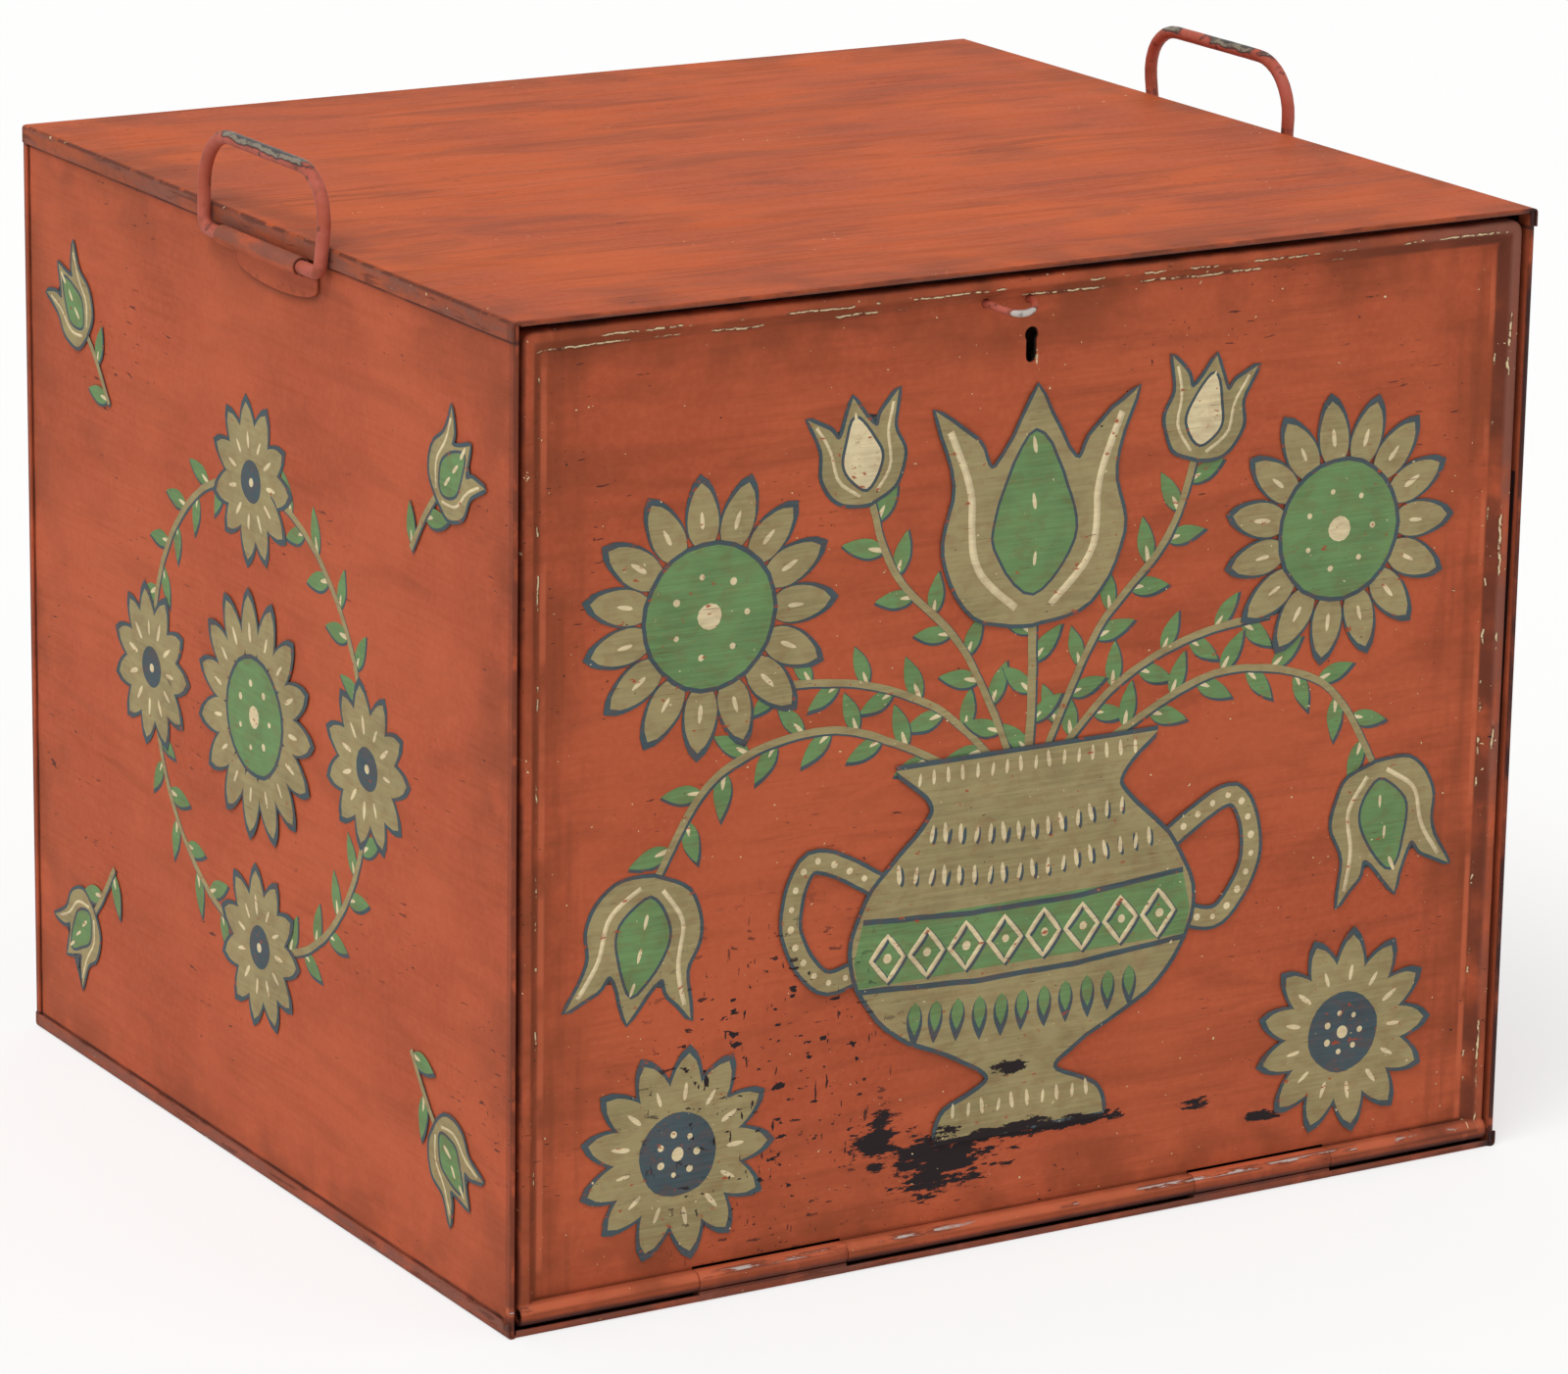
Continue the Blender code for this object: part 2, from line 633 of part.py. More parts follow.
def front_flap(axis, keyhole):
    flap = add_part("front_flap", pressed_flap(), RED_PAINT)
    thicken(flap)
    reach = SIDE_X + CUT_MARGIN
    rear = RIM_Y + FLAP_SIDE_TURN + CUT_MARGIN
    wall_middle = (BORE + ROLL) / 2
    foot = HINGE_Z + math.sqrt(wall_middle ** 2 - ROLL_OFFSET ** 2)
    below = ((-reach, FRONT - CUT_MARGIN, -reach), (reach, rear, foot))
    end = FLAP_X - FLAP_TOP_TURN_END
    turn = ((-end, RIM_Y + FLAP_TOP_TURN, FLAP_TOP - CUT_MARGIN), (end, rear, FLAP_TOP + CUT_MARGIN))
    trim = add_cutter("flap_trim", boxes("flap_trim", below, turn))
    notch_top = HINGE_Z + ROLL + ROLL_CLEARANCE
    spans = ((-KNUCKLE_OUTER, -KNUCKLE_INNER), (KNUCKLE_INNER, KNUCKLE_OUTER))
    notches = [((low, FRONT - CUT_MARGIN, 0), (high, rear, notch_top)) for low, high in spans]
    holes = [((x, PANEL_Y - CUT_MARGIN, LOOP_Z), (x, PANEL_BACK + CUT_MARGIN, LOOP_Z))
             for x in loop_legs()]
    cuts = (trim, add_cutter("flap_notches", boxes("flap_notches", *notches)))
    roll = rolls("flap_rolls", flap_knuckles())
    bore = hinge_bore("flap_hinge_bore")
    legs = add_cutter("loop_holes", rods("loop_holes", LOOP_WIRE + GAP, *holes))
    for cutter in cuts:
        combine(flap, cutter, "DIFFERENCE")
    combine(flap, roll, "UNION")
    for cutter in (bore, keyhole, legs):
        combine(flap, cutter, "DIFFERENCE")
    carry(axis, flap, roll, bore, legs, *cuts)


def pull_loop(axis):
    """Wire bow, half an ellipse that droops, with legs through the panel bent over behind it."""
    tail_y = PANEL_BACK + GAP + LOOP_WIRE
    kink_y = PANEL_Y - LOOP_STRAIGHT
    left, right = loop_legs()
    bow = []
    for step in range(LOOP_BOW_STEPS + 1):
        turn = math.pi * step / LOOP_BOW_STEPS
        out = math.sin(turn)
        bow.append((Vector((LOOP_X - LOOP_WIDTH / 2 * math.cos(turn),
                            kink_y - (LOOP_REACH - LOOP_STRAIGHT) * out,
                            LOOP_Z - LOOP_DROOP * out ** 2)), 0))
    corners = (
        (Vector((left - LOOP_TAIL, tail_y, LOOP_Z)), 0),
        (Vector((left, tail_y, LOOP_Z)), LOOP_LEG_BEND),
        *bow,
        (Vector((right, tail_y, LOOP_Z)), LOOP_LEG_BEND),
        (Vector((right + LOOP_TAIL, tail_y, LOOP_Z)), 0),
    )
    carry(axis, wire("pull_loop", rounded_path(corners, LOOP_BEND_STEPS), LOOP_WIRE, PINK_PAINT))


def rivet_places():
    x = LOCK_X + LOCK_EAR / 2
    heights = (LOCK_LOW + RIVET_EDGE, LOCK_TOP - RIVET_EDGE)
    return [(sign * x, z) for sign in (-1, 1) for z in heights]


def rivet_hole_cutter():
    ends = [((x, LOCK_Y - CUT_MARGIN, z), (x, CASE_Y + CUT_MARGIN, z)) for x, z in rivet_places()]
    return add_cutter("rivet_holes", rods("rivet_holes", RIVET_SHANK + GAP, *ends))


def lock_plate(axis, keyhole, holes):
    half = LOCK_X + LOCK_EAR
    corners = ((-half, LOCK_Y, LOCK_LOW), (half, LOCK_Y + LOCK_PLATE, LOCK_TOP))
    plate = add_part("lock_plate", boxes("lock_plate", corners), STEEL)
    combine(plate, keyhole, "DIFFERENCE")
    combine(plate, holes, "DIFFERENCE")
    carry(axis, plate)


def lock_case(axis, holes):
    """Pressed cap with an ear on each side, open towards the plate."""
    bm = bmesh.new()
    centre = (0, CASE_BACK, (LOCK_LOW + LOCK_TOP) / 2)
    rectangle(bm, 2 * LOCK_X, LOCK_HEIGHT, Matrix.Translation(centre) @ FACING_BACK)
    bends = list(bm.edges)
    edge = CASE_Y + SHEET / 2
    fold(bm, bends, (0, edge - CASE_BACK, 0))
    walls = [e for e in bm.edges if any(abs(v.co.y - edge) < NEAR for v in e.verts)
             and any(abs(v.co.y - CASE_BACK) < NEAR for v in e.verts)]
    round_bends(bm, bends + walls, BEND)
    case = add_part("lock_case", finish_mesh(bm, "lock_case"), STEEL)
    thicken(case)
    root, tip = LOCK_X - SHEET / 2, LOCK_X + LOCK_EAR
    low, high = LOCK_LOW + LOCK_EAR_SHORT, LOCK_TOP - LOCK_EAR_SHORT
    front, rear = CASE_Y, CASE_Y + SHEET
    spans = ((-tip, -root), (root, tip))
    ears = add_cutter("lock_ears", boxes("lock_ears", *(((near, front, low), (far, rear, high))
                                                        for near, far in spans)))
    slot = ((BOLT_X - GAP, BOLT_Y - GAP, LOCK_TOP - CUT_MARGIN),
            (BOLT_X + BOLT_WIDTH + GAP, BOLT_Y + BOLT_THICK + GAP, LOCK_TOP + CUT_MARGIN))
    nose = ((KEYHOLE_X, CASE_BACK - CUT_MARGIN, KEYHOLE_Z),
            (KEYHOLE_X, CASE_BACK + CUT_MARGIN, KEYHOLE_Z))
    bolt_slot = add_cutter("bolt_slot", boxes("bolt_slot", slot))
    key_nose = add_cutter("key_nose_hole", rods("key_nose_hole", KEYHOLE_HEAD, nose))
    combine(case, ears, "UNION")
    for cutter in (bolt_slot, key_nose, holes):
        combine(case, cutter, "DIFFERENCE")
    carry(axis, case, ears, bolt_slot, key_nose, holes)


def lock_rivets(axis):
    """Four rivets through the case ears and the plate, with domed heads behind."""
    seat = CASE_Y + SHEET + GAP - LOCK_Y
    dome = arc((0, seat), RIVET_HEAD, math.pi / 2, -math.pi / 2, DOME_STEPS)
    squash = RIVET_DOME / RIVET_HEAD
    profile = [(r, seat + (h - seat) * squash) for r, h in dome]
    profile += [(RIVET_SHANK, seat), (RIVET_SHANK, 0), (0, 0)]
    mesh = bpy.data.meshes.new("rivet_profile")
    links = [(index, index + 1) for index in range(len(profile) - 1)]
    mesh.from_pydata([(r, 0, h) for r, h in profile], links, [])
    guide = add_cutter("rivet_profile", mesh)
    screw = guide.modifiers.new("turn", "SCREW")
    screw.steps = RIVET_STEPS
    screw.render_steps = RIVET_STEPS
    screw.use_merge_vertices = True
    screw.merge_threshold = NEAR
    rivet = mesh_of(guide, "lock_rivet")
    shade_round(rivet)
    bpy.data.objects.remove(guide)
    for number, (x, z) in enumerate(rivet_places(), start=1):
        copy = add_part(f"lock_rivet_{number}", rivet.copy(), STEEL)
        copy.matrix_world = Matrix.Translation((x, LOCK_Y, z)) @ FACING_BACK
        carry(axis, copy)


def lock_bolt(axis):
    """Flat bolt with a notch in its edge for the key, drawn back below the keeper."""
    talon = KEYHOLE_Z - BOLT_THROW / 2
    near, far = BOLT_X, BOLT_X + BOLT_WIDTH
    half = BOLT_THROW / 2
    points = (
        (near, BOLT_LOW), (far, BOLT_LOW), (far, BOLT_TOP), (near, BOLT_TOP),
        (near, talon + half), (near + BOLT_TALON, talon + half),
        (near + BOLT_TALON, talon - half), (near, talon - half),
    )
    place = Matrix.Translation((0, BOLT_Y + BOLT_THICK / 2, 0)) @ FACING_FRONT
    bolt = add_part("lock_bolt", flat_outline("lock_bolt", points, BOLT_THICK, place), BRASS)
    slide = add_axis("lock_bolt_slide", (BOLT_X + BOLT_WIDTH / 2, BOLT_Y + BOLT_THICK / 2, BOLT_TOP))
    carry(axis, slide)
    carry(slide, bolt)


def bolt_spring(axis):
    """Bowed leaf between the bolt's far edge and the wall of the case."""
    radius = (SPRING_LENGTH ** 2 / 4 + SPRING_BOW ** 2) / (2 * SPRING_BOW)
    half = math.asin(SPRING_LENGTH / 2 / radius)
    middle = (LOCK_LOW + LOCK_TOP) / 2
    centre = (SPRING_X + radius, middle)
    outer = arc(centre, radius, math.pi - half, 2 * half, SPRING_STEPS)
    inner = arc(centre, radius - SPRING_THICK, math.pi + half, -2 * half, SPRING_STEPS)
    place = Matrix.Translation((0, BOLT_Y + BOLT_THICK / 2, 0)) @ FACING_FRONT
    mesh = flat_outline("bolt_spring", outer + inner, SPRING_WIDTH, place)
    carry(axis, add_part("bolt_spring", mesh, STEEL))


def key_ward(axis):
    """Curved fence on the case's back that only the right key's bit clears."""
    start = math.pi - WARD_SPAN / 2
    outer = arc((0, 0), WARD_RADIUS + WARD_WALL, start, WARD_SPAN, WARD_STEPS)
    inner = arc((0, 0), WARD_RADIUS, start + WARD_SPAN, -WARD_SPAN, WARD_STEPS)
    middle = CASE_BACK - SHEET - GAP - WARD_HEIGHT / 2
    place = Matrix.Translation((KEYHOLE_X, middle, KEYHOLE_Z)) @ FACING_FRONT
    mesh = flat_outline("key_ward", outer + inner, WARD_HEIGHT, place)
    carry(axis, add_part("key_ward", mesh, BRASS))


def half_moon():
    """Tail of a handle clip, seen from the side, with a curved lower edge."""
    half = CLIP_LENGTH / 2
    sag = CLIP_TAIL - CLIP_TAIL_END
    radius = (half ** 2 + sag ** 2) / (2 * sag)
    spread = math.asin(half / radius)
    edge = arc((0, radius - CLIP_TAIL), radius, -math.pi / 2 - spread, 2 * spread, TAIL_STEPS)
    return edge + [(half, CLIP_ROOT), (-half, CLIP_ROOT)]


def handle_clip(name, side):
    """Rolled sleeve with a half-moon tail soldered to the side."""
    x = side * (SIDE_X + GAP + SHEET / 2)
    y = side * (HANDLE_STAGGER + CLIP_TAIL_SHIFT)
    place = Matrix.Translation((x, y, PIVOT_Z)) @ FACING_SIDE
    clip = add_part(name, flat_outline(name, half_moon(), SHEET, place), PINK_PAINT)
    pivot = Vector((side * PIVOT_X, side * HANDLE_STAGGER, PIVOT_Z))
    half = Vector((0, CLIP_LENGTH / 2, 0))
    past = half + Vector((0, CUT_MARGIN, 0))
    sleeve = rods(name + "_sleeve", SLEEVE, (pivot - half, pivot + half))
    bore = rods(name + "_bore", SLEEVE_BORE, (pivot - past, pivot + past))
    combine(clip, add_cutter(name + "_sleeve", sleeve), "UNION")
    combine(clip, add_cutter(name + "_bore", bore), "DIFFERENCE")


def bail_handle(name, side):
    """D-shaped rod whose lower bar turns in the clip's sleeve."""
    top = HANDLE_FOOT + HANDLE_FLARE
    corners = (
        (Vector((0, -HANDLE_FOOT, 0)), HANDLE_FOOT_ROUND),
        (Vector((0, -top, HANDLE_RISE)), HANDLE_TOP_ROUND),
        (Vector((0, top, HANDLE_RISE)), HANDLE_TOP_ROUND),
        (Vector((0, HANDLE_FOOT, 0)), HANDLE_FOOT_ROUND),
    )
    path = rounded_path(corners, HANDLE_STEPS, closed=True)
    handle = wire(name, path, HANDLE_ROD, PINK_PAINT, closed=True)
    handle.location = (side * PIVOT_X, side * HANDLE_STAGGER, PIVOT_Z)
    handle.rotation_euler = (0, -side * HANDLE_LEAN, 0)


def main():
    top_panel()
    bottom_panel()
    side_panel("left_side_panel", -1)
    side_panel("right_side_panel", 1)
    back_panel()
    flap_stop("left_flap_stop", -1)
    flap_stop("right_flap_stop", 1)
    keeper()
    hinge_pin()
    for name, side in (("left_handle", -1), ("right_handle", 1)):
        handle_clip(name + "_clip", side)
        bail_handle(name, side)
    axis = add_axis("flap_hinge_axis", HINGE)
    keyhole = keyhole_cutter()
    holes = rivet_hole_cutter()
    front_flap(axis, keyhole)
    pull_loop(axis)
    lock_plate(axis, keyhole, holes)
    lock_case(axis, holes)
    lock_rivets(axis)
    lock_bolt(axis)
    bolt_spring(axis)
    key_ward(axis)
    carry(axis, keyhole)


main()
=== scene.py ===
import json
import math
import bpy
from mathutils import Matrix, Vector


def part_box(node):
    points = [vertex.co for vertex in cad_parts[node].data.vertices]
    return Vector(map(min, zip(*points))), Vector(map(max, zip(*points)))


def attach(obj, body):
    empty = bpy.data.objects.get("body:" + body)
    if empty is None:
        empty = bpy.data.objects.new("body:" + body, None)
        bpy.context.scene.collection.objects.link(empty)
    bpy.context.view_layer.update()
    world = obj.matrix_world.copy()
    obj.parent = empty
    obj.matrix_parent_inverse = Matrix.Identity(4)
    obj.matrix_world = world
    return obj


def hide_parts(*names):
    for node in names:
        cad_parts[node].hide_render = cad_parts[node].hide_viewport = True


bl_info = {
    "name": "Painted deed box",
    "version": (1, 0, 0),
    "blender": (4, 5, 0),
    "location": "3D View > Sidebar > Deed box",
    "description": "Dresses the sheets, handles and lock of a drop-front deed box and paints its faces",
    "category": "Object",
}

import bmesh
import bpy
from mathutils import Matrix, Vector, noise

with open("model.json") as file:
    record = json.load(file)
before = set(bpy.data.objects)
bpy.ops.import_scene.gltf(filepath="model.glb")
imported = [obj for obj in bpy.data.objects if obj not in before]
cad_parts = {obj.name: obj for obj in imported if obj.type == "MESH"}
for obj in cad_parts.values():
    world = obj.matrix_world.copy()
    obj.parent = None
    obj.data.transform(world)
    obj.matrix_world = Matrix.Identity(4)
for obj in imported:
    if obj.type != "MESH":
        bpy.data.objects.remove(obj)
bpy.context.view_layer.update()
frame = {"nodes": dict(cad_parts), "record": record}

MM = 0.001
WELD = 0.000002           # points of a CAD copy closer than this are one
CREASE = math.radians(32)  # bends sharper than this stay crisp
FIRST_COAT = 0.00006      # decoration stands this far off the ground coat
COAT = 0.000004           # and each later stroke this much further
PAINT_DEPTH = 0.00012     # decoration runs this far into the ground coat and sheet
FILL_CELLS = 4            # times as many mesh lines in a painted shape as in its sheet
SKIN = 0.0005             # faces nearer to the outside of the case than this are outside
SIDE_REACH = 0.0018       # past the inner face of a side, where its fold still looks inwards
BEHIND_RIM = 0.0002       # faces this far behind the flap's rim look into the case
TURNED = 0.0045           # points this far behind a face lie on a turned edge
CLIP_GAP = 0.0003         # between a handle's clip and its side
SLEEVE_START = 240        # degrees at which a clip's sheet begins to roll
SLEEVE_STEP = 15          # and of each of its bends
SLEEVE_BENDS = 22
CLIP_CELLS = 28           # mesh cells along a clip
TAIL_CELLS = 6            # and down its tail
BOW_STEPS = 18            # bends of the pull loop's bow
WIRE_STEP = 0.0006        # between the rings of its mesh
WIRE_SIDES = 16
SWELLS = ((1, 8, 0), (0.5, 17, 5))  # share, number in a metre and seed of a sheet's swells
WAVES = 30                # number in a metre of the waves of a turned edge
EDGE_STRAY = 0.7          # millimetres that the edge of a painted shape strays
EDGE_WAVE = 11            # and the length of its waves
RIGHT_HEM = 220           # place of the right-hand front edge in millimetres
WREATH_RADIUS = 92        # of the ring of leaves on a side in millimetres
WREATH_MIDDLE = 185       # and its height
PAINT_SHEEN = 0.06        # specular level of old oil paint, far below that of fresh gloss
VARNISH_SHEEN = 0.18      # of stoving varnish, and of thin paint that hands have polished
METAL_SHEEN = 0.5         # Blender's own level, which a metal keeps

TOP_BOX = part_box("top_panel")
SIDE_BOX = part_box("left_side_panel")
BACK_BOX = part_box("back_panel")
FLAP_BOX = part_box("front_flap")
HANDLE_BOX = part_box("left_handle")
LOOP_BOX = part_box("pull_loop")
CASE_LOW = Vector((TOP_BOX[0].x, SIDE_BOX[0].y, 0))
CASE_HIGH = Vector((TOP_BOX[1].x, TOP_BOX[1].y, TOP_BOX[1].z))
PIVOT = {joint["name"]: Vector(joint["pos_m"])
         for joint in frame["record"]["behaviour"]["joints"] if "pos_m" in joint}
KNUCKLE_Y = FLAP_BOX[0].y / MM  # front of the hinge roll in millimetres
KNUCKLE_Z = PIVOT["flap_hinge"].z / MM


def linear(code):
    """Linear colour of an sRGB hex value."""
    parts = [int(code[i:i + 2], 16) / 255 for i in (1, 3, 5)]
    return [c / 12.92 if c <= 0.04045 else ((c + 0.055) / 1.055) ** 2.4 for c in parts]


def length(label, about, metres):
    return bpy.props.FloatProperty(name=label, description=about, default=metres, unit="LENGTH",
                                   precision=5)


def angle(label, about, degrees):
    return bpy.props.FloatProperty(name=label, description=about, default=math.radians(degrees),
                                   subtype="ANGLE")


def number(label, about, value):
    return bpy.props.FloatProperty(name=label, description=about, default=value)


def colour(label, about, code):
    return bpy.props.FloatVectorProperty(name=label, description=about, default=linear(code),
                                         subtype="COLOR", min=0, max=1)


class SheetSettings(bpy.types.PropertyGroup):
    """Sheet steel as it is after long use."""
    cell: length("Cell", "Spacing of the mesh lines that let a sheet buckle", 0.012)
    buckle: length("Buckle", "How far the large sheets swell in and out", 0.0005)
    flap_buckle: length("Flap buckle", "How far the flap's panel swells in and out", 0.0002)
    calm: length("Calm margin", "Sheet beside a fold that stays flat", 0.06)
    recess: length("Recess", "Flap's panel behind its rim", 0.004)
    inset: length("Inset", "Flap's rim behind the front edges of the case", 0.0014)
    foot: length("Foot", "Height of the edge turned up from the bottom sheet", 0.006)
    rim: length("Rim", "Raised rim and slope round the flap's panel", 0.0078)
    waver: length("Waver", "How far a turned-down edge strays from straight", 0.0003)


class FinishSettings(bpy.types.PropertyGroup):
    """Colours of the paints and metals."""
    red: colour("Red", "Fresh face of the red oil paint", "#B95B3C")
    # Painted light: the top's red is the same paint, tinted warmer for how the light falls on the top
    top_red: colour("Top red", "The same paint on the top, which light has warmed", "#BF5829")
    deep_red: colour("Deep red", "The same paint where it lies thick", "#A14A31")
    # Bright red also paints the highlight on the hinge roll's upper front
    bright_red: colour("Bright red", "Ridges of the brush strokes", "#C76848")
    # Umber also paints shade: in the flap's rim slope and below the clips' tails
    umber: colour("Umber", "Brown glaze rubbed into the paint", "#7C4029")
    # This dark red-brown is worn paint, and also painted shade in the flap's right rim slope, along seams,
    # on the front hem and in the clips' corners and tail edges
    worn_and_shade: colour("Worn edge", "Paint rubbed thin over the old black coat", "#613529")
    # Ash is bleached paint, and on the clips' sleeves also their painted highlight
    ash: colour("Ash", "Paint bleached to a purplish grey-brown", "#7B5247")
    # This black is old varnish, and also painted shade below the hinge roll, along seams, on the right
    # front hem and in the clips' bores
    japan_and_shade: colour("Japan", "Old black stoving varnish under the paint", "#2C2527")
    primer: colour("Primer", "Cream priming that shows in chips", "#D8C59C")
    olive: colour("Olive", "Khaki of the painted ornament", "#9C8F66")
    green: colour("Green", "Leaf green of the ornament", "#6C8C5B")
    slate: colour("Slate", "Blue-grey lines of the ornament", "#49575C")
    cream: colour("Cream", "Pale strokes of the ornament", "#DCCBA2")
    pink: colour("Pink red", "Thin paint on the handles", "#B25C4C")
    steel: colour("Steel", "Dull bare steel", "#847D76")
    handled: colour("Handled steel", "Steel that hands have browned", "#857A69")
    bright: colour("Bright steel", "Steel rubbed bright on the pull loop and the hinge", "#BDB3AD")
    brass: colour("Brass", "Dull brass of the bolt", "#A88A4C")


class HandleSettings(bpy.types.PropertyGroup):
    """Bent rod and wire."""
    rod: length("Rod", "Radius of the handle rod", 0.0026)
    foot: length("Foot", "Half of a handle's width at its foot", 0.048)
    flare: length("Flare", "How far each upright leans out at its top", 0.004)
    foot_round: length("Foot round", "Bend at the foot of a handle", 0.005)
    top_round: length("Top round", "Bend at the top of a handle", 0.020)
    sleeve: length("Sleeve", "Middle radius of the rolled sleeve", 0.0033)
    sheet: length("Sheet", "Thickness of the clip", 0.0008)
    tail: length("Tail", "Half-moon below the pivot at its middle", 0.014)
    tail_end: length("Tail end", "Half-moon below the pivot at its ends", 0.0085)
    tail_shift: length("Tail shift", "Tail past one end of its sleeve", 0.006)
    root: length("Tail root", "Tail above the pivot", 0.001)
    hammer: length("Hammer marks", "Unevenness of the rod", 0.00012)
    wire: length("Wire", "Radius of the pull loop's wire", 0.0014)
    loop_width: length("Loop width", "Between the legs of the pull loop", 0.019)
    loop_tail: length("Loop tail", "Legs bent over behind the panel", 0.005)
    loop_droop: length("Loop droop", "How far the loop hangs", 0.0026)
    wire_bend: length("Wire bend", "Bend of the loop's legs", 0.0014)
    wire_marks: length("Wire marks", "Unevenness of the wire", 0.00006)
    loop_straight: length("Loop straight", "Leg before the loop's bow begins", 0.001)


class OrnamentSettings(bpy.types.PropertyGroup):
    """Brush marks of the painted ornament."""
    leaf: length("Leaf", "Length of a leaf", 0.019)
    leaf_width: length("Leaf width", "Width of a leaf", 0.0075)
    leaf_spacing: length("Leaf spacing", "Between leaves along a stem", 0.0115)
    petal: length("Petal", "Length of a rosette's petal", 0.026)
    petal_width: length("Petal width", "Width of a rosette's petal", 0.0135)
    dash: length("Dash", "Length of a short stroke", 0.0075)
    dash_width: length("Dash width", "Width of a short stroke", 0.0019)
    dot: length("Dot", "Radius of a dot", 0.0019)
    stem: length("Stem", "Width of a stem", 0.0031)
    unsteady: length("Unsteadiness", "How far the hand strays from a line", 0.0005)


class StageSettings(bpy.types.PropertyGroup):
    """Camera, light and floor."""
    azimuth: angle("Azimuth", "Camera round the box", -31.084)
    elevation: angle("Elevation", "Camera above the box", 15.624)
    roll: angle("Roll", "Camera about its own axis", 0.909)
    place: bpy.props.FloatVectorProperty(name="Place", description="Where the camera stands",
                                         default=(-1.3228, -2.2162, 0.8898), subtype="TRANSLATION")
    lens: number("Lens", "Focal length in millimetres", 153.74)
    sky: number("Sky", "Level of the even light", 0.55)
    key: number("Key", "Strength of the soft key light", 1.7)
    key_spread: angle("Key spread", "Apparent size of the key light", 32)
    key_way: bpy.props.FloatVectorProperty(name="Key way", description="Where the key light shines",
                                           default=(0.43, 0.25, -0.87), subtype="DIRECTION")
    floor: colour("Floor", "Colour of the floor", "#FBFBFA")
    reach: length("Floor reach", "From the middle of the floor to its edges", 12)
    glow: number("Glow", "Share of the floor seen as plain white", 0.6)


def add(tree, kind, inputs=None, out=0, **settings):
    """Add a node, set it up, feed its inputs from sockets or values, and give back one output."""
    node = tree.nodes.new(kind)
    for key, value in settings.items():
        setattr(node, key, value)
    for key, value in (inputs or {}).items():
        if isinstance(value, bpy.types.NodeSocket):
            tree.links.new(value, node.inputs[key])
        else:
            node.inputs[key].default_value = value
    return node.outputs[out]


class Finish:
    """A material being mixed: its nodes, its shader, and its place on the box in millimetres."""

    def __init__(self, name):
        self.material = bpy.data.materials.new(name)
        self.material.use_nodes = True
        self.tree = self.material.node_tree
        self.shader = self.tree.nodes["Principled BSDF"]
        self.colours = bpy.context.scene.deedbox_finish
        place = self.add("ShaderNodeTexCoord", out="Object")
        self.spot = self.add("ShaderNodeVectorMath", {0: place, "Scale": 1 / MM}, operation="SCALE")
        self.along = self.add("ShaderNodeSeparateXYZ", {0: self.spot}).node.outputs

    def add(self, kind, inputs=None, out=0, **settings):
        return add(self.tree, kind, inputs, out, **settings)

    def rgba(self, tint):
        """Socket value of a colour, or of the paint that has this name."""
        return (*(getattr(self.colours, tint) if isinstance(tint, str) else tint), 1)

    def blotches(self, size, low, high, seed, detail=3, warp=0):
        """Mask of soft-edged patches, with their size in millimetres on every axis or on each."""
        sizes = (size,) * 3 if isinstance(size, (int, float)) else size
        spot = self.add("ShaderNodeMapping", {"Vector": self.spot, "Location": (seed, 2 * seed, -seed),
                                              "Scale": [1 / s for s in sizes]})
        grain = self.add("ShaderNodeTexNoise", {"Vector": spot, "Scale": 1, "Detail": detail,
                                                "Roughness": 0.55, "Distortion": warp})
        return self.add("ShaderNodeMapRange", {"Value": grain, "From Min": low, "From Max": high},
                        interpolation_type="SMOOTHSTEP")

    def product(self, made, *masks):
        """Mask where all of these masks or shares lie over one another."""
        for mask in masks:
            made = self.add("ShaderNodeMath", {0: made, 1: mask}, operation="MULTIPLY")
        return made

    def band(self, value, middle, half, soft):
        """1 within half of middle, falling to 0 over soft."""
        off = self.add("ShaderNodeMath", {0: value, 1: middle}, operation="SUBTRACT")
        off = self.add("ShaderNodeMath", {0: off}, operation="ABSOLUTE")
        return self.add("ShaderNodeMapRange", {"Value": off, "From Min": half + soft, "From Max": half},
                        interpolation_type="SMOOTHSTEP")

    def gaps(self, low, high):
        """Distances from the nearer sides of a box along X, Y and Z."""
        below = self.add("ShaderNodeVectorMath", {0: self.spot, 1: low / MM}, operation="SUBTRACT")
        above = self.add("ShaderNodeVectorMath", {0: high / MM, 1: self.spot}, operation="SUBTRACT")
        near = self.add("ShaderNodeVectorMath", {0: below, 1: above}, operation="MINIMUM")
        return self.add("ShaderNodeSeparateXYZ", {0: near}).node.outputs

    def ellipse(self, x, z, half_width, half_height):
        """Distance from the middle of an ellipse on the front, where 1 is its outline."""
        off = self.add("ShaderNodeVectorMath", {0: self.spot, 1: (x, 0, z)}, operation="SUBTRACT")
        off = self.add("ShaderNodeVectorMath", {0: off, 1: (1 / half_width, 0, 1 / half_height)},
                       operation="MULTIPLY")
        return self.add("ShaderNodeVectorMath", {0: off}, 1, operation="LENGTH")

    def coats(self, ground, *layers):
        """Colours laid one over another, each through the product of its masks."""
        for tint, *masks in layers:
            ground = self.add("ShaderNodeMix", {0: self.product(*masks), 6: ground, 7: self.rgba(tint)}, 2,
                              data_type="RGBA")
        return ground

    def dress(self, paint, rough, relief, sheen):
        """Join colour, roughness and relief to the shader.

        Roughness is a mask and the values at its 0 and 1, and relief a mask and its height.
        """
        rough = self.add("ShaderNodeMapRange", {"Value": rough[0], "To Min": rough[1], "To Max": rough[2]})
        bump = self.add("ShaderNodeBump", {"Height": relief[0], "Strength": 1, "Distance": relief[1]})
        for label, made in (("Base Color", paint), ("Roughness", rough), ("Normal", bump)):
            self.tree.links.new(made, self.shader.inputs[label])
        self.shader.inputs["Specular IOR Level"].default_value = sheen


